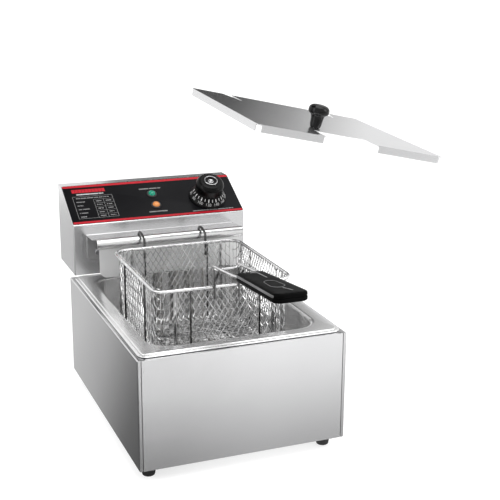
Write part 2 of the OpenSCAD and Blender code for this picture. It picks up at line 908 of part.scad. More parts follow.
// Y-shaped struts from the front of the rim up to the handle wire
module handle_brackets() {
    r = 1.5;
    foot = rim_front - r - weld_gap;
    fork = [foot - 2, 231];
    color("silver") for (m = [-1, 1]) {
        x = m*handle_x;
        bent([[x, foot, 204], [x, foot, 226], [x, fork.x, fork.y], [x, -110.6, 242.6]], r, 2);
        bent([[x, foot, 226], [x, fork.x, fork.y], [x, -129, 244.4]], r, 2);
    }
}

// Outline of the grip from above, its rear end at the origin and its front along +X
module grip_outline() {
    rounded = grip_round;
    half = grip_w_front/2;
    polygon([
        [0, -grip_w_rear/2], [grip_len - rounded, -half], [grip_len - rounded, half],
        [0, grip_w_rear/2]
    ]);
    translate([grip_len - rounded, -half + rounded]) square([rounded, 2*(half - rounded)]);
    for (m = [-1, 1]) translate([grip_len - rounded, m*(half - rounded)]) circle(rounded);
}

module grip_half(z0, t) {
    color("#141414") difference() {
        translate([0, grip_rear.x, grip_rear.y]) rotate([0, 0, -90]) rotate([0, -grip_a, 0])
            translate([0, 0, z0]) linear_extrude(t) grip_outline();
        for (m = [-1, 1])
            rod([m*handle_x, along_grip(-2).x, along_grip(-2).y],
                [m*handle_x, along_grip(grip_socket + 1).x, along_grip(grip_socket + 1).y],
                wire_r + 0.05);
        grip_screw_places() translate([0, 0, -20]) cylinder(h = 40, r = 1.55);
        grip_screw_places() translate([0, 0, -grip_t/2 - 1]) cylinder(h = 3, r = 3.4);
    }
}

module grip_screw_places() {
    for (d = grip_screw_at)
        translate([0, along_grip(d).x, along_grip(d).y]) rotate([-grip_a, 0, 0]) children();
}

module grip_upper() { grip_half(0.05, grip_t/2 - 0.05); }

module grip_lower() { grip_half(-grip_t/2, grip_t/2 - 0.05); }

module grip_screws() {
    color("silver") grip_screw_places() translate([0, 0, -grip_t/2 + 2]) mirror([0, 0, 1])
        screw(1.5, 7, 2.8, 1.6);
}

// ---- lid ----

// Places children in the lid's own frame: its top face at z = 0, its handle notch towards -Y
module in_lid() {
    translate(lid_at) rotate(a = norm(lid_axis), v = lid_axis) children();
}

// Outline of the lid's top with its notch at the front and two slots at the back
module lid_outline() {
    past = lid_d/2 + 1;
    difference() {
        square([lid_w, lid_d], center = true);
        translate([notch[0], -past]) square([notch[1] - notch[0], notch_deep + 1]);
        for (m = [-1, 1]) scale([m, 1]) translate([lid_slot_x, 0])
            polygon([[0, lid_slot_y], [2, lid_slot_y], [14, past], [0, past]]);
    }
}

module lid_plate() {
    corner = 6;
    color("gainsboro") in_lid() difference() {
        union() {
            translate([0, 0, -lid_t]) linear_extrude(lid_t) lid_outline();
            translate([0, 0, -lid_skirt]) linear_extrude(lid_skirt) difference() {
                square([lid_w, lid_d], center = true);
                square([lid_w - 2*lid_t, lid_d - 2*lid_t], center = true);
                // the folded edge stops at the notch, the slots and the corners
                translate([notch[0] - 2, -lid_d/2 - 1]) square([notch[1] - notch[0] + 4, 6]);
                for (m = [-1, 1]) {
                    translate([m*(lid_slot_x + 7.5) - 9.5, lid_d/2 - 4]) square([19, 6]);
                    translate([m*lid_w/2 - corner, -lid_d/2 - 1]) square([2*corner, corner + 1]);
                    translate([m*lid_w/2 - corner, lid_d/2 - corner]) square([2*corner, corner + 1]);
                }
            }
        }
        translate([knob_at.x, knob_at.y, -5]) cylinder(h = 10, r = knob_hole_r);
    }
}

module lid_knob() {
    color("#161616") in_lid() translate([knob_at.x, knob_at.y, 0]) difference() {
        rotate_extrude() polygon([
            [0, 0.1], [6.6, 0.1], [7.4, 4], [8.6, 16], [12.4, 18.5], [13.5, 21], [13.5, 23.5],
            [12.4, 26.5], [9.5, 28.8], [5, 29.8], [0, 30]
        ]);
        translate([0, 0, -1]) cylinder(h = 15, r = 2.45);
    }
}

module knob_washer() {
    color("silver") in_lid() translate([knob_at.x, knob_at.y, -lid_t - 1.05]) difference() {
        cylinder(h = 1, r = 7);
        translate([0, 0, -1]) cylinder(h = 3, r = 2.7);
    }
}

module knob_screw() {
    color("silver") in_lid() translate([knob_at.x, knob_at.y, -lid_t - 1.1]) mirror([0, 0, 1])
        screw(2.4, 14, 4.6, 2.6);
}

side_panel_left();
side_panel_right();
front_panel();
rear_panel();
bottom_plate();
feet();
foot_screws();
foot_nuts();
tank_pads();
head_bracket();
bracket_screws();
oil_tank();
head_shell();
head_base();
head_back_cover();
cover_screws();
control_overlay();
power_lamp();
heat_lamp();
lamp_housings();
thermostat_body();
thermostat_shaft();
dial();
dial_cap();
sensor_capillaries();
sensor_bulbs();
limit_thermostat();
reset_bezel();
reset_button();
terminal_block();
interlock_switch();
internal_leads();
heating_element();
element_flange();
element_nuts();
element_tabs();
element_clips();
basket_hanger();
element_guard();
hanger_screws();
cable_gland();
gland_nut();
basket_mesh();
basket_rim();
basket_frame();
basket_hooks();
handle_wire();
handle_brackets();
grip_upper();
grip_lower();
grip_screws();
lid_plate();
lid_knob();
knob_washer();
knob_screw();
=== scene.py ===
"""Looks of a counter-top deep fryer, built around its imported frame.

Everything is in the frame's axes: +X to the user's right, +Y to the back, +Z up. Sizes are
written in millimetres and turned into metres where a mesh is made.
"""
import json
import math
import random

import bmesh
import bpy
from mathutils import Matrix, Vector

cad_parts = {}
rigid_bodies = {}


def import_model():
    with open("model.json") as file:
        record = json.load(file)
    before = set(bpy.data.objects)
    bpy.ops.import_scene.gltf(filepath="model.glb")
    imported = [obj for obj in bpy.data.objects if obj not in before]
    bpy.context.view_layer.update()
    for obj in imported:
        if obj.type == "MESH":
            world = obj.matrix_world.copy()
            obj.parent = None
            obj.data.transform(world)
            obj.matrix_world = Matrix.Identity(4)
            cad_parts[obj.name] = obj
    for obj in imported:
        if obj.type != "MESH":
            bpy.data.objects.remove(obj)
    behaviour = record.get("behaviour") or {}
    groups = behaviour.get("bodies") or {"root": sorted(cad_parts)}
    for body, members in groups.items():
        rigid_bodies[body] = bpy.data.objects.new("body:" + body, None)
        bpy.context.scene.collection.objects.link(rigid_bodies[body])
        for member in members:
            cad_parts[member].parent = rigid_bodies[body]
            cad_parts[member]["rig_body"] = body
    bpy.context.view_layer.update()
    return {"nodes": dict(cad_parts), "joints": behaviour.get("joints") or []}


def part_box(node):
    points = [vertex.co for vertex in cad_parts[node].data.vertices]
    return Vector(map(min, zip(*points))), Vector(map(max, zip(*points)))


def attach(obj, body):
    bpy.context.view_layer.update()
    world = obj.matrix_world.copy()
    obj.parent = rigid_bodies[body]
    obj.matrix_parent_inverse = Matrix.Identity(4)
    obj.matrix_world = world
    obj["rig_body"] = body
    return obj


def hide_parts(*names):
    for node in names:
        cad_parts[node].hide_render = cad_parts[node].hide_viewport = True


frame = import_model()
MM = 0.001


# ---- places taken from the frame ----

def box_mm(node):
    """Lowest and highest corner of a CAD node, in millimetres."""
    low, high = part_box(node)
    return low / MM, high / MM


def dominant_normal(node, keep):
    """The direction that most of a node's surface faces, among the normals that keep() accepts."""
    areas = {}
    for face in frame["nodes"][node].data.polygons:
        if keep(face.normal):
            key = tuple(round(c, 3) for c in face.normal)
            areas[key] = areas.get(key, 0) + face.area
    return Vector(max(areas, key=areas.get)).normalized()


BODY_LOW, BODY_HIGH = box_mm("side_panel_left")
HEAD_LOW, HEAD_HIGH = box_mm("head_shell")
TANK_LOW, TANK_HIGH = box_mm("oil_tank")
RIM_LOW, RIM_HIGH = box_mm("basket_rim")
MESH_LOW, MESH_HIGH = box_mm("basket_mesh")

DIAL_JOINT = next(j for j in frame["joints"] if j["name"] == "dial_turn")
DIAL_AT = Vector(DIAL_JOINT["pos_m"]) / MM
SLOPE_OUT = -Vector(DIAL_JOINT["axis"]).normalized()
SLOPE_UP = SLOPE_OUT.cross(Vector((1, 0, 0)))
DIAL_S = (DIAL_AT.y - HEAD_LOW.y) / SLOPE_UP.y
SLOPE_FOOT = Vector((0, DIAL_AT.y, DIAL_AT.z)) - DIAL_S * SLOPE_UP
TOP_STRIP = 20.0
SLOPE_LEN = (HEAD_HIGH.y - TOP_STRIP - HEAD_LOW.y) / SLOPE_UP.y


def turned(right, back, up, at):
    """Matrix of a local frame from its three directions and its origin in millimetres."""
    m = Matrix((right, back, up)).transposed().to_4x4()
    m.translation = at
    return m


def on_slope(x, s, h=0.0):
    """Frame on the sloping panel: x sideways, s up the slope, h out of it."""
    at = SLOPE_FOOT + Vector((x, 0, 0)) + s * SLOPE_UP + h * SLOPE_OUT
    return turned(Vector((1, 0, 0)), SLOPE_UP, SLOPE_OUT, at)


def lid_frame():
    """The lid's own frame: its top face at z = 0, its handle notch towards -Y."""
    up = dominant_normal("lid_plate", lambda n: n.z > 0.7)
    right = dominant_normal("lid_plate", lambda n: n.x > 0.7 and abs(n.dot(up)) < 0.1)
    back = up.cross(right).normalized()
    right = back.cross(up)
    points = [v.co / MM for v in frame["nodes"]["lid_plate"].data.vertices]
    middle = []
    for axis in (right, back):
        along = [p.dot(axis) for p in points]
        middle.append((min(along) + max(along)) / 2)
    top = max(p.dot(up) for p in points)
    return turned(right, back, up, right * middle[0] + back * middle[1] + up * top)


LID = lid_frame()
GRIP_UP = dominant_normal("grip_upper", lambda n: n.z > 0.9)
GRIP_FRONT = Vector((1, 0, 0)).cross(GRIP_UP)


def add_object(name, data):
    thing = bpy.data.objects.new(name, data)
    bpy.context.scene.collection.objects.link(thing)
    return thing


# ---- materials ----

NOISE_SPAN = (0.3, 0.7)
GRAIN_ACROSS, GRAIN_ALONG = 1900.0, 12.0


def nodes_of(material):
    return material.node_tree.nodes, material.node_tree.links


def feed(material, output, socket):
    """Lets a node's output set one of the shader's sockets."""
    nodes, links = nodes_of(material)
    links.new(output, nodes["Principled BSDF"].inputs[socket])


def base_material(name, colour, metallic=0.0, roughness=0.4, **more):
    m = bpy.data.materials.new(name)
    m.use_nodes = True
    shader = m.node_tree.nodes["Principled BSDF"]
    shader.inputs["Base Color"].default_value = (*colour, 1)
    shader.inputs["Metallic"].default_value = metallic
    shader.inputs["Roughness"].default_value = roughness
    for socket, value in more.items():
        shader.inputs[socket.replace("_", " ")].default_value = value
    return m


def noise(material, scale, stretch=(1, 1, 1), detail=4.0):
    """A noise texture in the object's own metres, stretched per axis."""
    nodes, links = nodes_of(material)
    where = nodes.new("ShaderNodeTexCoord")
    mapping = nodes.new("ShaderNodeMapping")
    mapping.inputs["Scale"].default_value = stretch
    texture = nodes.new("ShaderNodeTexNoise")
    texture.inputs["Scale"].default_value = scale
    texture.inputs["Detail"].default_value = detail
    links.new(where.outputs["Object"], mapping.inputs["Vector"])
    links.new(mapping.outputs["Vector"], texture.inputs["Vector"])
    return texture.outputs["Fac"]


def grey(value):
    return (value, value, value)


def colour_ramp(nodes, stops):
    """A colour ramp from rising (place, colour) pairs."""
    ramp = nodes.new("ShaderNodeValToRGB")
    elements = ramp.color_ramp.elements
    elements[0].position, elements[1].position = stops[0][0], stops[-1][0]
    for place, _ in stops[1:-1]:
        elements.new(place)
    for element, (_, colour) in zip(elements, stops):
        element.color = (*colour, 1)
    return ramp


def map_range(nodes, low, high):
    """A map-range node that reads the span from low to high; its result runs from 0 to 1."""
    spread = nodes.new("ShaderNodeMapRange")
    spread.inputs["From Min"].default_value = low
    spread.inputs["From Max"].default_value = high
    return spread


def vary_roughness(material, factor, low, high):
    nodes, links = nodes_of(material)
    spread = map_range(nodes, *NOISE_SPAN)
    spread.inputs["To Min"].default_value = low
    spread.inputs["To Max"].default_value = high
    links.new(factor, spread.inputs["Value"])
    feed(material, spread.outputs["Result"], "Roughness")


def vary_colour(material, factor, dark, light, start=0.35, end=0.65):
    nodes, links = nodes_of(material)
    ramp = colour_ramp(nodes, [(start, dark), (end, light)])
    links.new(factor, ramp.inputs["Fac"])
    feed(material, ramp.outputs["Color"], "Base Color")


def add_bump(material, factor, strength, distance):
    nodes, links = nodes_of(material)
    bump = nodes.new("ShaderNodeBump")
    bump.inputs["Strength"].default_value = strength
    bump.inputs["Distance"].default_value = distance
    links.new(factor, bump.inputs["Height"])
    feed(material, bump.outputs["Normal"], "Normal")


def brushed_steel(name, along, tone=0.62, rough=(0.25, 0.27), depth=0.004):
    """Stainless sheet with fine grain lines along one axis and faint cloudy wipe marks."""
    m = base_material(name, (tone, tone, tone * 1.01), metallic=1.0)
    stretch = [GRAIN_ACROSS] * 3
    stretch["xyz".index(along)] = GRAIN_ALONG
    lines = noise(m, 1.0, stretch, detail=3.0)
    clouds = noise(m, 9.0, detail=3.0)
    vary_roughness(m, lines, *rough)
    dark, light = ([tone * k, tone * k, tone * (k + 0.01)] for k in (0.98, 1.015))
    vary_colour(m, clouds, dark, light)
    add_bump(m, lines, depth, 0.00004)
    return m


def bright_steel(name, tone, rough, ripple=0.1, metallic=1.0):
    """Deep-drawn or polished steel: soft ripples and a few finer pores."""
    m = base_material(name, (tone, tone, tone * 1.02), metallic=metallic)
    waves = noise(m, 16.0, detail=1.0)
    pores = noise(m, 900.0, detail=2.0)
    vary_roughness(m, pores, *rough)
    vary_colour(m, waves, grey(tone * 0.95), grey(tone * 1.03))
    add_bump(m, waves, ripple, 0.0004)
    return m


def plated_wire(name, dark, light, rough):
    """Nickel-chrome plated wire with slightly uneven plating."""
    m = base_material(name, light, metallic=1.0)
    plating = noise(m, 260.0, detail=3.0)
    vary_roughness(m, plating, *rough)
    vary_colour(m, noise(m, 60.0), dark, light)
    add_bump(m, plating, 0.04, 0.00004)
    return m


def moulded_black(name, shade, rough, grain_size=900.0, grain=0.12, gloss=0.5):
    """Moulded thermoset or rubber: a fine skin and faint dusty patches."""
    m = base_material(name, grey(shade), Specular_IOR_Level=gloss)
    skin = noise(m, grain_size, detail=3.0)
    patches = noise(m, 35.0)
    vary_roughness(m, patches, *rough)
    vary_colour(m, patches, grey(shade * 0.7), (shade * 1.5, shade * 1.5, shade * 1.55))
    add_bump(m, skin, grain, 0.00006)
    return m


def moulded_red(name, shade, rough, dark, light):
    """The same moulding, dyed red a little unevenly."""
    m = moulded_black(name, shade, rough)
    vary_colour(m, noise(m, 90.0), dark, light)
    return m


def gloss_film():
    """Printed gloss film: very flat, with the faint waviness of a glued sheet."""
    m = base_material("gloss_film", (0.004, 0.004, 0.005), Specular_IOR_Level=0.07)
    vary_roughness(m, noise(m, 500.0), 0.28, 0.34)
    vary_colour(m, noise(m, 14.0), (0.003, 0.003, 0.004), (0.006, 0.006, 0.007))
    add_bump(m, noise(m, 18.0, detail=1.0), 0.05, 0.0005)
    return m


def ink(name, colour, worn):
    """Screen-printed ink whose colour thins a little here and there."""
    m = base_material(name, colour, roughness=0.4, Specular_IOR_Level=0.15)
    vary_colour(m, noise(m, 420.0), worn, colour, 0.3, 0.55)
    vary_roughness(m, noise(m, 900.0), 0.32, 0.5)
    return m


def tinted_lens(name, colour, deep, glow):
    """Clear tinted plastic over a weak bulb."""
    m = base_material(name, colour, roughness=0.1, Transmission_Weight=0.35,
                      Emission_Strength=glow, Emission_Color=(*colour, 1))
    vary_colour(m, noise(m, 380.0), deep, colour)
    add_bump(m, noise(m, 700.0), 0.1, 0.0001)
    return m


def plain_metal(name, dark, light, rough, scale=120.0):
    """Plated or bare small metal parts with a mottled finish."""
    m = base_material(name, light, metallic=1.0)
    vary_colour(m, noise(m, scale), dark, light)
    vary_roughness(m, noise(m, scale * 3), *rough)
    add_bump(m, noise(m, 1400.0, detail=2.0), 0.08, 0.00004)
    return m


def ceramic():
    m = base_material("ceramic", (0.72, 0.68, 0.58), roughness=0.55)
    vary_colour(m, noise(m, 300.0), (0.62, 0.57, 0.47), (0.76, 0.72, 0.63))
    add_bump(m, noise(m, 1200.0), 0.15, 0.0001)
    return m


MAT = {
    "side": brushed_steel("steel_side", "y", 0.66, rough=(0.17, 0.19)),
    "front": brushed_steel("steel_front", "x", 0.76, rough=(0.22, 0.24)),
    "head": brushed_steel("steel_head", "x", 0.66),
    "lid": brushed_steel("steel_lid", "x", 0.82, rough=(0.2, 0.22)),
    "plate": brushed_steel("steel_plate", "x", 0.62, rough=(0.34, 0.44)),
    "nose": bright_steel("steel_nose", 0.74, (0.18, 0.24), 0.02),
    "guard": bright_steel("steel_guard", 0.8, (0.4, 0.5), 0.02, 0.7),
    "tank": bright_steel("steel_tank", 0.8, (0.2, 0.26), 0.02, 0.85),
    "wire": plated_wire("bright_wire", (0.7, 0.7, 0.71), grey(0.9), (0.1, 0.2)),
    "net": plated_wire("net_wire", grey(0.42), grey(0.74), (0.1, 0.18)),
    # This plated wire is painted almost black: painted shade on the frame, hook and handle-bracket
    # wires.
    "strut": plated_wire("strut_wire_painted_shade", grey(0.07), grey(0.16), (0.1, 0.18)),
    "element": plain_metal("element_sheath", (0.5, 0.49, 0.48), (0.66, 0.65, 0.64),
                           (0.3, 0.45), 60.0),
    "zinc": plain_metal("zinc_plate", (0.5, 0.5, 0.52), (0.72, 0.72, 0.74), (0.25, 0.4)),
    "brass": plain_metal("brass", (0.5, 0.34, 0.13), (0.75, 0.56, 0.26), (0.25, 0.4)),
    "tinned": plain_metal("tinned_copper", (0.5, 0.46, 0.44), (0.7, 0.68, 0.66), (0.3, 0.42)),
    "chrome": plain_metal("cap_chrome", (0.3, 0.3, 0.31), grey(0.5), (0.12, 0.2)),
    "film": gloss_film(),
    "red_ink": ink("red_ink", (0.44, 0.011, 0.022), (0.33, 0.01, 0.016)),
    "white_ink": ink("white_ink", grey(0.72), grey(0.5)),
    "scale_ink": ink("scale_ink", grey(0.42), grey(0.26)),
    "grey_ink": ink("grey_ink", grey(0.3), grey(0.17)),
    "green": tinted_lens("green_lens", (0.01, 0.34, 0.21), (0.0, 0.16, 0.1), 0.3),
    "amber": tinted_lens("amber_lens", (0.72, 0.3, 0.09), (0.5, 0.14, 0.03), 0.4),
    "grip": moulded_black("grip_phenolic", 0.003, (0.3, 0.42), grain=0.05, gloss=0.015),
    # A lighter copy of the grip's black: painted reflection on the upper grip's flanks and painted
    # highlight on its ridge.
    "grip_painted_sheen": moulded_black("grip_painted_sheen", 0.1, (0.3, 0.4), grain=0.04, gloss=0.9),
    # A still lighter copy of the grip's black for the raised marks: a painted highlight where
    # their edges catch the light.
    "grip_painted_highlight": moulded_black("grip_painted_highlight", 0.22, (0.3, 0.4), grain=0.04, gloss=0.6),
    "knob": moulded_black("knob_phenolic", 0.003, (0.1, 0.16), grain=0.02, gloss=0.2),
    "dial": moulded_black("dial_plastic", 0.004, (0.24, 0.34), grain=0.05, gloss=0.1),
    "nylon": moulded_black("black_nylon", 0.02, (0.4, 0.55)),
    "rubber": moulded_black("foot_rubber", 0.014, (0.55, 0.75), 500.0, 0.3),
    "silicone": moulded_black("pad_silicone", 0.04, (0.5, 0.6)),
    "button": moulded_red("button_red", 0.02, (0.25, 0.35), (0.36, 0.01, 0.01),
                          (0.5, 0.02, 0.02)),
    "ceramic": ceramic(),
    "sleeve": moulded_red("lead_sleeve", 0.05, (0.45, 0.6), (0.22, 0.03, 0.02),
                          (0.34, 0.05, 0.03)),
}


# ---- mesh code shared by the pieces ----

SHEET = 1.0
BOX_FACES = ((4, 5, 6, 7), (0, 1, 5, 4), (1, 2, 6, 5), (2, 3, 7, 6), (3, 0, 4, 7))


def new_piece(name, mesh, material, body):
    """Makes and dresses a piece; one named look_ and a CAD node stands for that node."""
    piece = add_object(name, mesh)
    mesh.materials.clear()
    mesh.materials.append(MAT[material])
    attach(piece, body)
    node = name.removeprefix("look_")
    if node != name and node in frame["nodes"]:
        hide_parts(node)
    return piece


def mesh_from(name, points, faces, place=None, sharp=40.0):
    """Mesh in metres from millimetre points, smooth except at edges above the sharp angle."""
    mesh = bpy.data.meshes.new(name)
    if place is not None:
        points = [place @ Vector(p) for p in points]
    mesh.from_pydata([tuple(c * MM for c in p) for p in points], [], faces)
    mesh.validate()
    bm = bmesh.new()
    bm.from_mesh(mesh)
    bmesh.ops.remove_doubles(bm, verts=bm.verts, dist=1e-6)
    bmesh.ops.recalc_face_normals(bm, faces=bm.faces)
    bm.to_mesh(mesh)
    bm.free()
    smooth(mesh, sharp)
    return mesh


def smooth(mesh, sharp):
    for face in mesh.polygons:
        face.use_smooth = True
    mesh.set_sharp_from_angle(angle=math.radians(sharp))


def add_bevel(piece, width, segments=2, angle=30.0):
    bevel = piece.modifiers.new("edges", "BEVEL")
    bevel.width = width * MM
    bevel.segments = segments
    bevel.limit_method = "ANGLE"
    bevel.angle_limit = math.radians(angle)
    weigh(piece)


def weigh(piece):
    weighted = piece.modifiers.new("normals", "WEIGHTED_NORMAL")
    weighted.keep_sharp = True


def add_thickness(piece, thickness, offset=-1.0):
    solid = piece.modifiers.new("sheet", "SOLIDIFY")
    solid.thickness = thickness * MM
    solid.offset = offset
    solid.use_even_offset = True


def refined(node, material, width):
    """A copy of a CAD node with its flat faces joined and its edges rounded."""
    mesh = frame["nodes"][node].data.copy()
    bm = bmesh.new()
    bm.from_mesh(mesh)
    bmesh.ops.remove_doubles(bm, verts=bm.verts, dist=2e-6)
    bmesh.ops.dissolve_limit(bm, angle_limit=math.radians(0.4), verts=bm.verts, edges=bm.edges)
    bm.to_mesh(mesh)
    bm.free()
    mesh.name = "look_" + node
    for face in mesh.polygons:
        face.use_smooth = True
    body = frame["nodes"][node]["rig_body"]
    add_bevel(new_piece("look_" + node, mesh, material, body), width)


def folded(name, polygons, inside, radius, material, body, place=Matrix.Identity(4)):
    """Sheet steel: flat faces folded along their shared edges, with a round bend at each."""
    bm = bmesh.new()
    known = {}
    middle = Vector(inside)
    for polygon in polygons:
        points = [Vector(p) for p in polygon]
        normal = (points[1] - points[0]).cross(points[2] - points[1])
        centre = sum(points, Vector()) / len(points)
        if normal.dot(centre - middle) < 0:
            polygon = polygon[::-1]
        for p in polygon:
            if p not in known:
                known[p] = bm.verts.new((place @ Vector(p)) * MM)
        bm.faces.new([known[p] for p in polygon])
    folds = [e for e in bm.edges if len(e.link_faces) == 2]
    bmesh.ops.bevel(bm, geom=folds, offset=radius * MM, segments=5, profile=0.5,
                    affect="EDGES", clamp_overlap=True)
    mesh = bpy.data.meshes.new(name)
    bm.to_mesh(mesh)
    bm.free()
    smooth(mesh, 30.0)
    piece = new_piece(name, mesh, material, body)
    add_thickness(piece, SHEET)
    add_bevel(piece, 0.15, 1, 60.0)


def soften(profile, radius, steps=4):
    """A profile or path with each inner corner replaced by a short curve."""
    out = [profile[0]]
    for before, corner, after in zip(profile, profile[1:], profile[2:]):
        b, c, a = Vector(before), Vector(corner), Vector(after)
        if (b - c).length < 1e-6 or (a - c).length < 1e-6:
            continue
        start = c + (b - c).normalized() * min(radius, 0.48 * (b - c).length)
        end = c + (a - c).normalized() * min(radius, 0.48 * (a - c).length)
        for k in range(steps + 1):
            u = k / steps
            out.append(tuple((1 - u) ** 2 * start + 2 * u * (1 - u) * c + u * u * end))
    out.append(profile[-1])
    return out


def quarter(steps):
    """Angles that part a quarter turn into equal steps."""
    return [math.pi / 2 * k / steps for k in range(steps + 1)]


def mirrored(half):
    """A path that runs on through its mirror image across x = 0."""
    return half + [(-x, *rest) for x, *rest in reversed(half)]


def ring_faces(rings, n, closed=False):
    """Faces between neighbouring rings of n points; closed joins the last to the first."""
    faces = []
    for i in range(rings if closed else rings - 1):
        a, b = i * n, (i + 1) % rings * n
        for k in range(n):
            m = (k + 1) % n
            faces.append((a + k, a + m, b + m, b + k))
    return faces


def cap_faces(rings, n):
    """Faces that close the first and the last ring."""
    return [tuple(range(n - 1, -1, -1)), tuple((rings - 1) * n + k for k in range(n))]


def tube(path, radius, sides, closed):
    """Points and faces of a round bar along a path, carried along without twisting."""
    path = [Vector(p) for p in path]
    last = len(path)
    points = []
    across = None
    for i, at in enumerate(path):
        ahead = path[(i + 1) % last] if closed or i + 1 < last else at
        behind = path[i - 1] if closed or i > 0 else at
        heading = (ahead - behind).normalized()
        if across is None:
            across = heading.orthogonal()
        across = (across - across.dot(heading) * heading).normalized()
        other = heading.cross(across)
        for k in range(sides):
            a = 2 * math.pi * k / sides
            points.append(at + radius * (math.cos(a) * across + math.sin(a) * other))
    faces = ring_faces(last, sides, closed)
    return points, faces if closed else faces + cap_faces(last, sides)


def wires(name, paths, radius, material, body, sides=14, closed=False):
    """Several round bars as one piece."""
    points, faces = [], []
    for path in paths:
        more, ring = tube(path, radius, sides, closed)
        faces += [tuple(i + len(points) for i in face) for face in ring]
        points += more
    mesh = bpy.data.meshes.new(name)
    mesh.from_pydata([tuple(p * MM) for p in points], [], faces)
    smooth(mesh, 50.0)
    return new_piece(name, mesh, material, body)


def rounded_loop(w, d, r, steps=10):
    """Points round a rounded rectangle that is centred on the origin."""
    out = []
    for q, (sx, sy) in enumerate(((1, 1), (-1, 1), (-1, -1), (1, -1))):
        for a in (q * math.pi / 2 + turn for turn in quarter(steps)):
            out.append((sx * (w / 2 - r) + r * math.cos(a), sy * (d / 2 - r) + r * math.sin(a)))
    return out


def stack(name, loops, material, body, place=None, capped=(True, True), sharp=40.0):
    """Surface through equally long loops of 3-D points, capped at its first and last or not."""
    n = len(loops[0])
    caps = [face for face, wanted in zip(cap_faces(len(loops), n), capped) if wanted]
    points = [p for loop in loops for p in loop]
    mesh = mesh_from(name, points, ring_faces(len(loops), n) + caps, place, sharp)
    return new_piece(name, mesh, material, body)


def lathe(name, profile, material, body, place=None, segments=64, sharp=35.0):
    """Turned shape: a profile of (radius, height) pairs swept round the local z axis."""
    angles = [2 * math.pi * i / segments for i in range(segments)]
    loops = [[(r * math.cos(a), r * math.sin(a), h) for a in angles] for r, h in profile]
    return stack(name, loops, material, body, place, (False, False), sharp)


def flat_marks(name, boxes, heights, material, body):
    """Thin marks as one piece: each box is a place and the spans that it covers in x and y."""
    points, faces = [], []
    for place, (x0, x1), (y0, y1) in boxes:
        faces += [tuple(len(points) + i for i in face) for face in BOX_FACES]
        points += [place @ Vector((x, y, h)) for h in heights
                   for x, y in ((x0, y0), (x1, y0), (x1, y1), (x0, y1))]
    return new_piece(name, mesh_from(name, points, faces), material, body)


# ---- housing ----

def side_panel(side, node):
    """Side of the housing, folded in along the top and bottom and round the front corner."""
    lip, fold, half = 10.0, 4.6, -BODY_LOW.x
    x, inner, edge = side * half, side * (half - lip), side * (half - fold)
    low, top, front, end = BODY_LOW.z, BODY_HIGH.z, BODY_LOW.y, BODY_HIGH.y
    polygons = [[(x, front, low), (x, end, low), (x, end, top), (x, front, top)]]
    polygons += [[(x, front, z), (x, end, z), (inner, end, z), (inner, front + 4, z)]
                 for z in (top, low)]
    polygons += [[(x, front, low), (x, front, top), (edge, front, top), (edge, front, low)]]
    folded("look_" + node, polygons, (0, 0, (low + top) / 2), 1.8, "side", "housing")


def front_panel():
    """Flat front with lips folded back along its top and bottom."""
    low, high = box_mm("front_panel")
    half, inner, front, back = high.x, high.x - 5.1, low.y, high.y
    across = (-half, -inner, inner, half)
    polygons = [[(x, front, low.z) for x in across] + [(x, front, high.z) for x in across[::-1]]]
    polygons += [[(-inner, front, z), (inner, front, z), (inner, back, z), (-inner, back, z)]
                 for z in (high.z, low.z)]
    folded("look_front_panel", polygons, (low + high) / 2, 1.8, "front", "housing")


def feet():
    """Four turned feet; the first of them stands for the node that holds all four."""
    low, high = box_mm("feet")
    radius = 11.0
    top = high.z - low.z
    profile = soften([
        (2.8, top), (radius, top), (radius, top - 4), (radius - 1, top - 5), (8.2, 1.2),
        (7.4, 0), (5.4, 0), (5.4, 4), (2.8, 4), (2.8, top),
    ], 0.7, 3)
    for i, x in enumerate((low.x + radius, high.x - radius)):
        for j, y in enumerate((low.y + radius, high.y - radius)):
            foot = lathe(f"look_foot_{i}{j}", profile, "rubber", "housing",
                         Matrix.Translation((x, y, low.z)), 40)
            if i == j == 0:
                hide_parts("feet")


# ---- oil tank ----

def oil_tank():
    """Drawn tank: a low outer lip, a step, a flat flange and a round-cornered well."""
    w, d = TANK_HIGH.x - TANK_LOW.x, TANK_HIGH.y - TANK_LOW.y
    top, floor = TANK_HIGH.z, TANK_LOW.z + 1
    lip = top - 1.6
    flange, edge, well = 21, 4.0, 14.0
    rows = [(0, 11, BODY_HIGH.z + 0.8), (0, 11, lip - 0.5), (0.5, 11, lip), (3.6, 9.5, lip),
            (4.1, 9, lip + 0.3), (4.4, 8, top - 0.5), (4.9, 8, top)]
    rows += [(flange - edge + edge * math.sin(a), 34 if a else 32, top - edge + edge * math.cos(a))
             for a in quarter(6)]
    rows += [(flange, 34, (top + floor) / 2)]
    rows += [(flange + well * (1 - math.cos(a)), 34 - well * (1 - math.cos(a)) * 0.9,
              floor + well * (1 - math.sin(a))) for a in quarter(6)]
    rows += [(60, 12, floor), (90, 8, floor)]
    loops = [[(x, y, z) for x, y in
              rounded_loop(w - 2 * inset, d - 2 * inset - inset / flange, r, 12)]
             for inset, r, z in rows]
    piece = stack("look_oil_tank", loops, "tank", "tank", capped=(False, True),
                  sharp=60.0)
    add_thickness(piece, 0.9, 1.0)
    weigh(piece)


# ---- control head ----

def head_shell():
    half, front, back = HEAD_HIGH.x, HEAD_LOW.y, HEAD_HIGH.y
    low, top, fold, ridge = HEAD_LOW.z, HEAD_HIGH.z, SLOPE_FOOT.z, HEAD_HIGH.y - TOP_STRIP
    side = [(front, low), (front, fold), (ridge, top), (back, top), (back, low)]
    polygons = [[(x, y, z) for y, z in side] for x in (-half, half)]
    for (y0, z0), (y1, z1) in zip(side[:3], side[1:4]):
        polygons.append([(-half, y0, z0), (half, y0, z0), (half, y1, z1), (-half, y1, z1)])
    folded("look_head_shell", polygons, (0, back - 30, low + 20), 1.5, "head", "head")


FILM, FILM_GAP = 0.8, 1.2


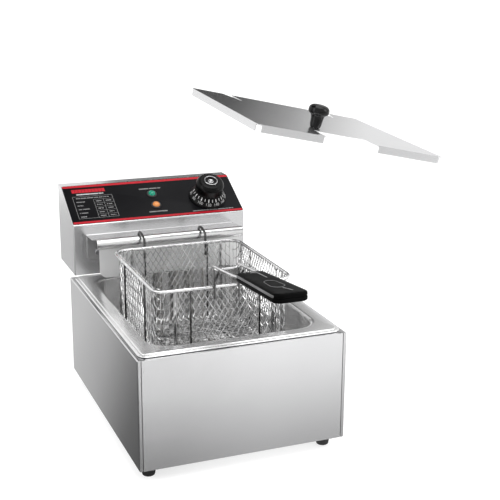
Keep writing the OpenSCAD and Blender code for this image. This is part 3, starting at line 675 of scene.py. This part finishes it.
def overlay_film():
    """Glossy film that leaves a bare strip at the slope's foot and top, its rim rounded."""
    w, d = HEAD_HIGH.x * 2 - 1, SLOPE_LEN - 2 * FILM_GAP
    loops = [[(x, y, z) for x, y in rounded_loop(w - 2 * i, d - 2 * i, 2.5, 4)] for i, z in
             ((0, 0), (0, FILM * 0.7), (FILM * 0.12, FILM * 0.93), (FILM * 0.4, FILM))]
    stack("look_control_overlay", loops, "film", "head",
          on_slope(0, SLOPE_LEN / 2), sharp=50.0)


def dashes(x0, x1, s, tall, seed):
    """A row of short marks of uneven length that stands in for a caption."""
    draw = random.Random(seed)
    out, x = [], x0
    while x < x1:
        run = min(draw.uniform(0.9, 1.6), x1 - x)
        out.append((x, x + run, s - tall / 2, s + tall / 2))
        x += run + (1.3 if draw.random() < 0.15 else 0.45)
    return out


def print_on_film(name, boxes, material):
    """Ink on the overlay: boxes of x0, x1, s0, s1."""
    place = on_slope(0, 0, FILM)
    flat_marks(name, [(place, box[:2], box[2:]) for box in boxes], (0.0, 0.05), material, "head")


def settings_table():
    """Ruled table of generic captions at the left of the overlay."""
    left, right, top, row_h, rows = -121.5, -61.0, 60.5, 8.1, 6
    columns, rule = (-91.5, -76.5), 0.4
    bottom = top - rows * row_h
    marks = [(left, left + 0.5, bottom, top), (right - 0.5, right, bottom, top),
             (left, right, top - rule, top), (left, right, bottom, bottom + rule)]
    marks += [(x, x + rule, bottom, top - row_h) for x in columns]
    marks += dashes(left + 5, right - 5, top - 0.52 * row_h, 1.9, 9)
    for row in range(1, rows):
        s = top - (row + 0.52) * row_h
        marks += dashes(left + 4, -101 - (row % 3) * 4, s, 1.9, row)
        marks += dashes(-88, -80, s, 1.9, row + 20) + dashes(-73, -65, s, 1.9, row + 40)
        marks += [(columns[0], right, s + 0.46 * row_h, s + 0.46 * row_h + 0.3)]
    return marks


def overlay():
    """The film, two red stripes, a red heading of plain bars and rows of caption marks."""
    overlay_film()
    edge = HEAD_HIGH.x - 1.3
    bar, step = 4.6, 5.1
    red = [(-edge, edge, 1.6, 5.9), (-edge, edge, SLOPE_LEN - 6.4, SLOPE_LEN - 1.9)]
    red += [(x, x + bar, 68.6, 76.2) for x in (-120 + step * k for k in range(10))]
    print_on_film("print_red", red, "red_ink")
    print_on_film("print_white", dashes(-114, -72, 64.8, 2.3, 60), "white_ink")
    captions = (dashes(-17, 17, 66.6, 2.4, 61) + dashes(-14, 14, 14.6, 2.4, 62)
                + dashes(53, 118, 8.4, 2.0, 63))
    print_on_film("print_grey", settings_table() + captions, "grey_ink")


def lamp(name, node, s, material):
    """Faceted lens in a black collar."""
    bezel = soften([(5.4, 0.7), (7.6, 0.7), (7.6, 1.9), (6.6, 2.9), (5.4, 2.6), (5.4, 0.7)],
                   0.4, 2)
    lathe(name + "_bezel", bezel, "nylon", "head", on_slope(0, s), 40)
    dome = [(5.4, 1.0), (5.4, 2.8), (4.7, 4.2), (3.0, 5.3), (1.2, 5.8), (0.0, 5.8)]
    lens = lathe(name + "_lens", dome, material, "head", on_slope(0, s), 12, 12.0)
    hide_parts(node)


# ---- dial ----

DIAL_R, EDGE_TOP, SCALE_TOP, GRIP_R, DIAL_TOP, CAP_R = 28.7, 3.6, 15.5, 21.6, 34.0, 10.6


def dial():
    place = on_slope(DIAL_AT.x, DIAL_S)
    profile = soften([
        (0.1, 7.6), (6.0, 7.6), (6.0, 1.6), (DIAL_R - 1, 1.6), (DIAL_R, 2.2),
        (DIAL_R, EDGE_TOP), (GRIP_R - 0.4, SCALE_TOP), (GRIP_R - 0.9, SCALE_TOP + 2.5),
        (GRIP_R, DIAL_TOP - 5.5), (GRIP_R - 3.8, DIAL_TOP - 0.3), (CAP_R + 1.0, DIAL_TOP),
        (CAP_R + 0.1, DIAL_TOP - 1.2), (3.4, DIAL_TOP - 1.6), (0.1, DIAL_TOP - 1.6),
    ], 2.4, 6)
    lathe("look_dial", profile, "dial", "dial_knob", place, 96, 28.0)
    inner, outer = CAP_R - 1.9, CAP_R - 0.05
    ring = soften([
        (inner, DIAL_TOP - 1.3), (inner, DIAL_TOP + 0.9), (inner + 0.8, DIAL_TOP + 1.5),
        (outer, DIAL_TOP + 0.9), (outer, DIAL_TOP - 1.3), (inner, DIAL_TOP - 1.3),
    ], 0.5, 4)
    lathe("look_dial_cap", ring, "chrome", "dial_knob", place, 64)
    hub = soften([(4.6, DIAL_TOP - 1.7), (4.6, DIAL_TOP - 0.8), (3.6, DIAL_TOP - 0.2),
                  (2.6, DIAL_TOP - 0.7), (1.6, DIAL_TOP + 0.3), (0.05, DIAL_TOP + 0.5)], 0.4, 3)
    lathe("dial_hub", hub, "chrome", "dial_knob", place, 48)


def on_scale(angle, share):
    """Frame on the dial's conical scale: share runs from its outer edge to the grip."""
    out = Vector((math.cos(angle), math.sin(angle), 0))
    slant = Vector((GRIP_R - 0.4 - DIAL_R, SCALE_TOP - EDGE_TOP))
    r, h = Vector((DIAL_R, EDGE_TOP)) + slant * share
    slant.normalize()
    up = out * slant.x + Vector((0, 0, slant.y))
    right = Vector((-math.sin(angle), math.cos(angle), 0))
    return turned(right, up, right.cross(up), out * r + Vector((0, 0, h)))


def scale_number(value, place):
    """One number, lying on the cone at a place in millimetres."""
    text = bpy.data.curves.new(f"scale_{value}", "FONT")
    text.body = str(value)
    text.size = 6.2 * MM
    text.extrude = 0.1 * MM
    text.align_x, text.align_y = "CENTER", "CENTER"
    text.materials.append(MAT["scale_ink"])
    number = add_object(f"scale_{value}", text)
    place.translation *= MM
    number.matrix_world = place
    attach(number, "dial_knob")


def dial_scale():
    """Ticks and plain numbers on the dial's cone, from 60 to 200."""
    place = on_slope(DIAL_AT.x, DIAL_S)
    first, last = math.radians(168), math.radians(368)
    values = range(60, 201, 20)
    gaps = 2 * (len(values) - 1)
    ticks = []
    for i in range(gaps + 1):
        angle = first + (last - first) * i / gaps
        half, tall = (0.42, 2.0) if i % 2 else (0.62, 2.5)
        ticks.append((place @ on_scale(angle, 0.76), (-half, half), (-tall, tall)))
    flat_marks("dial_ticks", ticks, (-0.3, 0.08), "white_ink", "dial_knob")
    for i, value in enumerate(values):
        angle = first + (last - first) * i / (len(values) - 1)
        scale_number(value, place @ on_scale(angle, 0.32))


# ---- heating element and sensors ----

ELEMENT_R = 4.2
ELEMENT_EXIT = box_mm("heating_element")[1].z - ELEMENT_R


def element():
    """Two nested hairpins that lie low in the tank and leave through the head's front."""
    z, front, bend_y = box_mm("heating_element")[0].z + ELEMENT_R, HEAD_LOW.y, 138
    loops = []
    for leg, run, end in ((36, 78, -128), (13, 30, -86)):
        half = [(leg, front + 14, ELEMENT_EXIT), (leg, bend_y, ELEMENT_EXIT), (leg, bend_y, z),
                (leg, 112, z), (run, 92, z), (run, end, z)]
        loops.append(soften(mirrored(half), 14, 8))
    wires("look_heating_element", loops, ELEMENT_R, "element", "head", 18)


def capillaries():
    """A thin tube from each thermostat to its bulb on the element."""
    low, high = box_mm("sensor_bulbs")
    z, drop_y = (low.z + high.z) / 2, 128
    routes = []
    for x, back, up in ((52, 205, 225), (-52, 240, 212)):
        routes.append(soften([
            (x, back, up), (x, back - 5, 206), (x, 190, ELEMENT_EXIT), (x, 146, ELEMENT_EXIT),
            (x, drop_y, ELEMENT_EXIT - 16), (x, drop_y, z + 8), (x, 120, z), (x, 106, z)], 8, 8))
    wires("look_sensor_capillaries", routes, 1.1, "tinned", "head", 10)


# ---- basket hanger ----

NOSE_R = 7.5
NOSE_Y = box_mm("basket_hanger")[0].y + NOSE_R


def hanger():
    """One bent sheet: rear flange, shelf with the hook slot, and a rolled nose."""
    low, high = box_mm("basket_hanger")
    t, nose_z = 1.2, high.z - NOSE_R
    rear, shelf, under = high.y - t / 2, high.z - t / 2, nose_z - NOSE_R + t / 2
    slot_back, slot_front, slot_half, cutout_half = (132.5, 228.0), 126.5, 70, 66
    path = [(rear, low.z)] + soften([(rear, 200.0), (rear, 226.6), slot_back], 2.2, 5)
    path += [slot_back]
    slot_from = len(path) - 1
    path += [(slot_front, shelf - 1.2), (NOSE_Y + 4, shelf)]
    path += [(NOSE_Y - (NOSE_R - t / 2) * math.sin(a), nose_z + (NOSE_R - t / 2) * math.cos(a))
             for a in (math.radians(15 * k) for k in range(13))]
    path += [(slot_front, under)]
    nose_half = high.x - 3
    right = [cutout_half, slot_half, nose_half, high.x]
    xs = [-x for x in reversed(right)] + right
    points = [(x, y, z) for x in xs for y, z in path]
    n = len(path)
    faces = []
    for i in range(len(xs) - 1):
        middle = abs(xs[i] + xs[i + 1]) / 2
        for k in range(n - 1):
            in_slot = k == slot_from and middle < slot_half
            past_nose = k >= slot_from and middle > nose_half
            in_cutout = k == 0 and middle < cutout_half
            if not (in_slot or past_nose or in_cutout):
                faces.append((i * n + k, (i + 1) * n + k, (i + 1) * n + k + 1, i * n + k + 1))
    name = "look_basket_hanger"
    piece = new_piece(name, mesh_from(name, points, faces, sharp=50.0), "nose", "head")
    add_thickness(piece, t, 0.0)
    add_bevel(piece, 0.2, 2, 50.0)


# ---- basket ----

BASKET_Y = (RIM_LOW.y + RIM_HIGH.y) / 2
RIM_R, RIM_CORNER = 2.4, 18.0
PITCH, RISE, SAG = 13.2, 1.65, 9.0
FLOOR_PITCH, CORNER_PITCH = 7.4, 5.8
WIRE_R, WEAVE = 0.5, 0.46
HALF_X = MESH_HIGH.x - WIRE_R
HALF_Y = (MESH_HIGH.y - MESH_LOW.y) / 2 - WIRE_R
FLOOR_Z = MESH_LOW.z + WIRE_R
CORNER, FILLET = 19.0, 9.0
WALL = MESH_HIGH.z - MESH_LOW.z - FILLET + FILLET * math.pi / 2
UPRIGHT = 17.4
STEP, FLOOR_STEP = 2.1, 2.07


def basket_wires(node, paths, radius, material, sides=12, closed=False):
    wires("look_" + node, paths, radius, material, "basket", sides, closed)


def side_lengths():
    """Lengths of the right, back, left and front walls between the corners' middles."""
    arc = CORNER * math.pi / 2
    return [2 * (HALF_Y - CORNER) + arc, 2 * (HALF_X - CORNER) + arc] * 2


def wall_point(wall, u, v, out):
    """Place on a wall: u along it from its first corner, v up it from the floor's edge."""
    depth, half_long = (HALF_Y, HALF_X - CORNER) if wall % 2 else (HALF_X, HALF_Y - CORNER)
    along = u - CORNER * math.pi / 4 - half_long
    turn = max(0.0, abs(along) - half_long) / CORNER
    centre = Vector((depth - CORNER, max(-half_long, min(half_long, along))))
    normal = Vector((math.cos(turn), math.copysign(math.sin(turn), along)))
    bend = min(v / FILLET, math.pi / 2)
    inset = FILLET * (1 - math.sin(bend))
    height = FILLET * (1 - math.cos(bend)) + max(0.0, v - FILLET * math.pi / 2)
    flat = centre + normal * (CORNER - inset + out * math.sin(bend))
    flat = Matrix.Rotation(math.pi / 2 * wall, 2) @ flat
    return Vector((flat.x, flat.y + BASKET_Y, FLOOR_Z + height - out * math.cos(bend)))


def u_curve(u):
    """Height that a wire gains on its way from a corner's middle."""
    return RISE * (math.sqrt(u * u + SAG * SAG) - SAG)


def easing(x):
    x = max(0.0, min(1.0, x))
    return x * x * (3 - 2 * x)


def climbing_wire(wall, length, u, v, index, mirror):
    """One wire that sags at its own corner, climbs the wall and turns upright at the next."""
    path = []
    while v < WALL:
        left = length - u
        crossing = (v - u_curve(left)) / PITCH
        out = WEAVE * math.cos(math.pi * (crossing + index)) * (-1 if mirror else 1)
        path.append(wall_point(wall, length - u if mirror else u, v, out))
        du = easing((left - UPRIGHT) / 14.0)
        dv = RISE * u / math.sqrt(u * u + SAG * SAG)
        size = math.hypot(du, dv)
        if size < 1e-6:
            break
        u, v = u + STEP * du / size, v + STEP * dv / size
    path.append(wall_point(wall, length - u if mirror else u, WALL, 0))
    return path


def corner_wire(wall, u, near, index):
    """One upright wire near a corner, woven like the others."""
    steps = int(WALL / STEP)
    path = []
    for i in range(steps + 1):
        v = WALL * i / steps
        out = -WEAVE * math.cos(math.pi * ((v - u_curve(near)) / PITCH + index))
        path.append(wall_point(wall, u, v, out))
    return path


def wall_wires():
    """Climbing wires from the corners and the floor's edge, both ways, and the corner wires."""
    paths = []
    for wall, length in enumerate(side_lengths()):
        starts = [(0.0, n * PITCH, n) for n in range(1, int(WALL / PITCH) + 1)]
        n, u = 0, 0.0
        while u <= length - UPRIGHT:
            starts.append((u, 0.0, -n))
            n += 1
            reach = n * PITCH / RISE + SAG
            u = math.sqrt(reach * reach - SAG * SAG)
        for mirror in (False, True):
            paths += [climbing_wire(wall, length, u, v, i, mirror) for u, v, i in starts]
        for k in range(4):
            near = k * CORNER_PITCH
            places = {near, length - near} if k else {0.0}
            paths += [corner_wire(wall, u, near, k) for u in places]
    return paths


def floor_wires():
    """Diamond grid of the basket's floor, cut to the floor's rounded outline."""
    half_x, half_y, r = HALF_X - FILLET, HALF_Y - FILLET, CORNER - FILLET
    root = math.sqrt(2)

    def inside(x, y):
        dx, dy = max(0.0, abs(x) - half_x + r), max(0.0, abs(y) - half_y + r)
        return math.hypot(dx, dy) <= r

    paths, reach = [], int((half_x + half_y) / FLOOR_PITCH / root) + 1
    for slant in (1, -1):
        for n in range(-reach, reach + 1):
            path, t = [], -half_x - half_y
            while t < half_x + half_y:
                x = (n * FLOOR_PITCH + t) / root
                y = slant * (t - n * FLOOR_PITCH) / root
                if inside(x, y):
                    z = WEAVE * slant * math.cos(math.pi * (t / FLOOR_PITCH + n))
                    path.append(Vector((x, y + BASKET_Y, FLOOR_Z + z)))
                t += FLOOR_STEP
            if len(path) > 2:
                paths.append(path)
    return paths


def basket():
    """The woven net, its rim and four bent frame wires."""
    basket_wires("basket_mesh", wall_wires() + floor_wires(), WIRE_R, "net", 5)
    span = RIM_HIGH - RIM_LOW
    rim = [(x, y + BASKET_Y, RIM_LOW.z + span.z / 2) for x, y in
           rounded_loop(span.x - 2 * RIM_R, span.y - 2 * RIM_R, RIM_CORNER, 12)]
    basket_wires("basket_rim", [rim], RIM_R, "wire", 16, closed=True)
    low, high = box_mm("basket_frame")
    r = 1.5
    top, bottom, front, back, side = high.z, low.z + r, low.y + r, high.y - r, high.x - r
    ribs = [[(x, front, top), (x, front, bottom), (x, back, bottom), (x, back, top)]
            for x in (-47, 47)]
    ribs += [mirrored([(-side, y, top), (-side, y, bottom)]) for y in (-55, 38)]
    basket_wires("basket_frame", [soften(p, 8, 8) for p in ribs], 1.2, "strut")


def hooks():
    """Two single wires that rise from the rim and hang over the hanger's nose."""
    low, high = box_mm("basket_hooks")
    r, half = 1.8, 46.0
    back, tip, top = low.y + r, high.y - r, high.z - r
    paths = [soften([(x, back, low.z + r), (x, back, top - 5), (x, NOSE_Y - 5, top),
                     (x, NOSE_Y + 5, top), (x, tip, top - 6), (x, tip, top - 14)], 5, 8)
             for x in (-half, half)]
    basket_wires("basket_hooks", paths, r, "strut", 14)


GRIP_REAR = Vector((0, -187.0, 254.4))
HANDLE_X = 16.5


def along_grip(d):
    at = GRIP_REAR + GRIP_FRONT * d
    return at.y, at.z


def handle_wires():
    """The bent wire inside the grip, and a forked strut from the rim to each of its legs."""
    inside, entry, rear = along_grip(96), along_grip(5), along_grip(-7)
    half = [(-13.0, *inside), (-13.5, *entry), (-HANDLE_X, *rear), (-HANDLE_X, -107.5, 246),
            (-HANDLE_X, -106.5, 241)]
    basket_wires("handle_wire", [soften(mirrored(half), 4, 8)], 2.0, "wire", 14)
    foot, struts = RIM_LOW.y - 1.6, []
    for x in (-HANDLE_X, HANDLE_X):
        fork = [(x, foot, 226), (x, foot - 2, 231)]
        struts += [[(x, foot, 204), *fork, (x, -110.6, 242.6)], [*fork, (x, -129, 244.4)]]
    basket_wires("handle_brackets", [soften(p, 4, 6) for p in struts], 1.5, "strut")


def grip_outline(inset):
    """The grip from above, its rear end at the origin and its front along +X."""
    length, rear, front, r = 127.0 - inset, 17.5 - inset, 21.0 - inset, 9.5 - inset
    corner, out = 4.0, []
    for m in (-1, 1):
        edge = [(inset + corner * (1 - math.cos(a)), m * (rear - corner * (1 - math.sin(a))))
                for a in quarter(5)]
        front_arc = [(length - r + r * math.sin(a), m * (front - r + r * math.cos(a)))
                     for a in quarter(8)]
        half = edge + front_arc
        out += half if m < 0 else half[::-1]
    return out


def grip():
    """Two moulded halves; the upper one's flanks are painted lighter as a painted reflection, and
    its raised marks and ridge are painted lighter as painted highlights.
    """
    place = turned(GRIP_FRONT, GRIP_UP.cross(GRIP_FRONT), GRIP_UP, GRIP_REAR)
    half, seam, soft = 5.5, 0.1, 2.6
    rows = [(0.5, seam), (0.15, seam + 0.4), (0, seam + 0.9), (0, half - soft)]
    rows += [(soft * (1 - math.cos(a)), half - soft + soft * math.sin(a))
             for a in quarter(5)[1:]]
    rows += [(soft + 5, half)]
    for name, sign in (("look_grip_upper", 1), ("look_grip_lower", -1)):
        loops = [[(x, y, sign * z) for x, y in grip_outline(i)] for i, z in rows]
        piece = stack(name, loops, "grip", "basket", place, sharp=50.0)
        # The upper half's flanks take the lighter copy, a painted reflection.
        piece.data.materials.append(MAT["grip_painted_sheen"])
        for face in piece.data.polygons:
            if sign > 0 and abs(face.normal.x) > 0.93:
                face.material_index = 1
    # The raised marks are painted light grey as a painted highlight.
    marks = [soften([(9, -2), (9, 2), (13, 6), (41, 6)], 2.5, 5),
             soften([(98, 1), (106, 4), (114, 6)], 4, 4)]
    wires("grip_marks", [[place @ Vector((x, y, half - 0.15)) for x, y in p] for p in marks],
          0.7, "grip_painted_highlight", "basket", 8)
    # The ridge is painted lighter too, as a painted highlight along its rim.
    ring = soften([(56, 0), (60, -7), (88, -9), (96, 0), (88, 9), (60, 7), (56, 0)], 5, 5)[:-1]
    wires("grip_ridge", [[place @ Vector((x, y, half)) for x, y in ring]], 0.4, "grip_painted_sheen",
          "basket", 8, closed=True)


# ---- lid ----

LID_W, LID_D, LID_SKIRT = 262.0, 245.0, 9.4
NOTCH, NOTCH_DEEP = (-39.0, 35.0), 35.5


def lid():
    """Flat sheet with a handle notch and two slots, its edges folded down."""
    x, y, z = LID_W / 2, LID_D / 2, -LID_SKIRT
    corner, gap, n0, n1 = 6.0, 2.0, NOTCH[0], NOTCH[1]
    slot_in, slot_tip, slot_mouth, slot_end = 71, 73, 84.7, 80.5
    skirt_in, skirt_out = slot_in - gap, 88
    front = [(-x, -y), (-x + corner, -y), (n0 - gap, -y), (n0, -y), (n0, -y + NOTCH_DEEP),
             (n1, -y + NOTCH_DEEP), (n1, -y), (n1 + gap, -y), (x - corner, -y), (x, -y)]
    back = [(x, y), (x - corner, y), (skirt_out, y), (slot_mouth, y), (slot_tip, slot_end),
            (slot_in, slot_end), (slot_in, y), (skirt_in, y)]
    outline = front + [(x, -y + corner), (x, y - corner)] + mirrored(back)
    outline += [(-x, y - corner), (-x, -y + corner)]
    skirts = [((-x + corner, -y), (n0 - gap, -y)), ((n1 + gap, -y), (x - corner, -y)),
              ((x, -y + corner), (x, y - corner)), ((-x, y - corner), (-x, -y + corner)),
              ((x - corner, y), (skirt_out, y)), ((skirt_in, y), (-skirt_in, y)),
              ((-skirt_out, y), (-x + corner, y))]
    polygons = [[(a, b, 0.0) for a, b in outline]]
    polygons += [[(*p, 0.0), (*q, 0.0), (*q, z), (*p, z)] for p, q in skirts]
    folded("look_lid_plate", polygons, (0, 0, -40), 1.6, "lid", "lid", LID)


def lid_knob():
    """Waisted knob with a domed top, over the washer's place."""
    low, high = box_mm("knob_washer")
    at = LID.inverted() @ ((low + high) / 2)
    place = LID @ Matrix.Translation((at.x, at.y, 0))
    profile = soften([
        (0.1, 0.15), (6.6, 0.15), (7.4, 4), (8.0, 12), (8.8, 16), (12.4, 18.3), (13.5, 20.8),
        (13.5, 23.8), (12.4, 26.6), (9.5, 28.8), (5, 29.8), (0.1, 30)], 1.6, 6)
    lathe("look_lid_knob", profile, "knob", "lid", place, 72, 50.0)


# ---- the rest of the frame's parts ----

REFINED = {
    "plate": ("plain_steel", 0.25, "rear_panel bottom_plate head_base head_back_cover "
                                   "head_bracket element_flange element_clips"),
    "guard": ("satin_steel", 0.25, "element_guard"),
    "zinc": ("fasteners", 0.15, "foot_screws foot_nuts bracket_screws cover_screws "
                                "hanger_screws element_tabs grip_screws knob_washer "
                                "knob_screw thermostat_shaft"),
    "brass": ("brass_nuts", 0.25, "element_nuts"),
    "tinned": ("copper_tube", 0.3, "sensor_bulbs"),
    "silicone": ("pad_silicone", 0.15, "tank_pads"),
    "nylon": ("inner_black", 0.4, "lamp_housings reset_bezel interlock_switch cable_gland "
                                  "gland_nut"),
    "button": ("button_red", 0.4, "reset_button"),
    "ceramic": ("ceramic_cream", 0.4, "thermostat_body limit_thermostat terminal_block"),
}


def other_parts():
    for material, (slot, width, nodes) in REFINED.items():
        for node in nodes.split():
            refined(node, material, width)
    leads = frame["nodes"]["internal_leads"]
    leads.data.materials.clear()
    leads.data.materials.append(MAT["sleeve"])


# ---- studio ----

def camera():
    """The reference view: a little left of the front and above the rim."""
    azimuth, pitch, roll = math.radians(-22.034), math.radians(15.739), math.radians(0.385)
    back = Vector((math.sin(azimuth) * math.cos(pitch), -math.cos(azimuth) * math.cos(pitch),
                   math.sin(pitch)))
    level = Vector((0, 0, 1)).cross(back).normalized()
    up = back.cross(level)
    right = level * math.cos(roll) + up * math.sin(roll)
    up = up * math.cos(roll) - level * math.sin(roll)
    data = bpy.data.cameras.new("camera")
    data.lens = 75.53
    data.sensor_width = 36.0
    data.clip_end = 30.0
    eye = add_object("camera", data)
    eye.matrix_world = turned(right, up, back, Vector((-0.44726, -1.29387, 0.62305)))
    bpy.context.scene.camera = eye


def aim(thing, at, target):
    """Puts a light or a card at a place, facing a target."""
    thing.location = at
    thing.rotation_mode = "QUATERNION"
    thing.rotation_quaternion = (Vector(target) - Vector(at)).to_track_quat("-Z", "Y")


def softbox(name, at, target, width, height, power):
    data = bpy.data.lights.new(name, "AREA")
    data.shape = "RECTANGLE"
    data.size, data.size_y = width, height
    data.energy = power
    aim(add_object(name, data), at, target)


def overhead_flag():
    """A dark card above the head that only shows in reflections."""
    bpy.ops.mesh.primitive_plane_add(size=1)
    flag = bpy.context.object
    flag.name = "overhead_flag"
    flag.scale = (1.2, 1.0, 1)
    aim(flag, (-0.35, 0.6, 1.5), (-0.05, 0.2, 0.27))
    flag.data.materials.append(base_material("overhead_flag", grey(0.01), roughness=0.9))
    flag.visible_camera = flag.visible_shadow = False


def graded(name, axis, stops):
    """Glowing grey for a reflection card: stops are (place in metres, grey) along one axis."""
    m = base_material(name, (0, 0, 0), roughness=1.0, Emission_Strength=1.0)
    nodes, links = nodes_of(m)
    where = nodes.new("ShaderNodeTexCoord")
    split = nodes.new("ShaderNodeSeparateXYZ")
    start, end = stops[0][0], stops[-1][0]
    spread = map_range(nodes, start, end)
    ramp = colour_ramp(nodes, [((place - start) / (end - start), grey(shade))
                               for place, shade in stops])
    links.new(where.outputs["Object"], split.inputs["Vector"])
    links.new(split.outputs[axis], spread.inputs["Value"])
    links.new(spread.outputs["Result"], ramp.inputs["Fac"])
    feed(m, ramp.outputs["Color"], "Emission Color")
    return m


def grey_card(name, corners, axis, stops, at=(0, 0, 0), turn=0.0):
    """A graded card that only shows in reflections: four corners in metres."""
    mesh = bpy.data.meshes.new(name)
    mesh.from_pydata(corners, [], [(0, 1, 2, 3)])
    flat = add_object(name, mesh)
    mesh.materials.append(graded(name, axis, stops))
    flat.location = at
    flat.rotation_euler = (0, 0, math.radians(turn))
    flat.visible_camera = flat.visible_shadow = flat.visible_diffuse = False


def lying(x0, x1, y0, y1, z=0.002):
    return [(x0, y0, z), (x1, y0, z), (x1, y1, z), (x0, y1, z)]


def floor():
    bpy.ops.mesh.primitive_plane_add(size=60)
    ground = bpy.context.object
    ground.name = "floor"
    m = base_material("floor", grey(0.5), roughness=0.9, Emission_Strength=0.6,
                      Emission_Color=(1, 1, 1, 1))
    vary_colour(m, noise(m, 3.0), grey(0.49), grey(0.51))
    ground.data.materials.append(m)


def world():
    """White studio, a little greyer towards the horizon; the backdrop itself is white."""
    w = bpy.data.worlds.new("studio")
    bpy.context.scene.world = w
    w.use_nodes = True
    nodes, links = w.node_tree.nodes, w.node_tree.links
    where = nodes.new("ShaderNodeTexCoord")
    split = nodes.new("ShaderNodeSeparateXYZ")
    ramp = colour_ramp(nodes, [(0.0, grey(0.8)), (0.5, grey(1.0))])
    links.new(where.outputs["Generated"], split.inputs["Vector"])
    links.new(split.outputs["Z"], ramp.inputs["Fac"])
    links.new(ramp.outputs["Color"], nodes["Background"].inputs["Color"])
    backdrop = nodes.new("ShaderNodeBackground")
    backdrop.inputs["Color"].default_value = (1, 1, 1, 1)
    path = nodes.new("ShaderNodeLightPath")
    mix = nodes.new("ShaderNodeMixShader")
    links.new(path.outputs["Is Camera Ray"], mix.inputs["Fac"])
    links.new(nodes["Background"].outputs["Background"], mix.inputs[1])
    links.new(backdrop.outputs["Background"], mix.inputs[2])
    links.new(mix.outputs["Shader"], nodes["World Output"].inputs["Surface"])


def studio():
    world()
    floor()
    softbox("top_light", (0.2, -0.3, 2.2), (0, 0, 0.15), 1.8, 1.8, 24)
    softbox("right_light", (2.0, -1.4, 1.2), (0, 0, 0.15), 1.2, 1.6, 18)
    softbox("left_light", (-2.2, -0.4, 1.3), (0, 0, 0.15), 0.9, 1.6, 10)
    overhead_flag()
    grey_card("front_card", lying(-1.2, 1.6, -3.2, -0.19), "Y",
              [(-3.0, 0.45), (-1.25, 0.5), (-0.7, 1.15), (-0.48, 1.0), (-0.22, 0.36)])
    grey_card("corner_card", lying(-1.1, -0.17, -0.55, -0.2), "Y", [(-0.6, 0.02), (-0.1, 0.02)])
    grey_card("left_card", lying(-0.6, 0.6, -0.7, 1.4), "X",
              [(-0.09, 0.02), (-0.03, 0.14), (0.03, 0.42), (0.1, 0.6)], (-0.14, 0.0, 0.0), 22.0)
    grey_card("lid_card", [(0.1, 0.9, 0.4), (1.6, 0.9, 0.4), (1.6, 0.9, 1.1), (0.1, 0.9, 1.1)],
              "X", [(0.45, 0.02), (0.6, 0.24), (0.8, 0.72)])
    bpy.context.scene.view_settings.view_transform = "Standard"
    bpy.context.scene.view_settings.exposure = 0.15


camera()
studio()
side_panel(-1, "side_panel_left")
side_panel(1, "side_panel_right")
front_panel()
feet()
oil_tank()
head_shell()
overlay()
lamp("power", "power_lamp", 53.7, "green")
lamp("heat", "heat_lamp", 28.4, "amber")
dial()
dial_scale()
element()
capillaries()
hanger()
basket()
hooks()
handle_wires()
grip()
lid()
lid_knob()
other_parts()
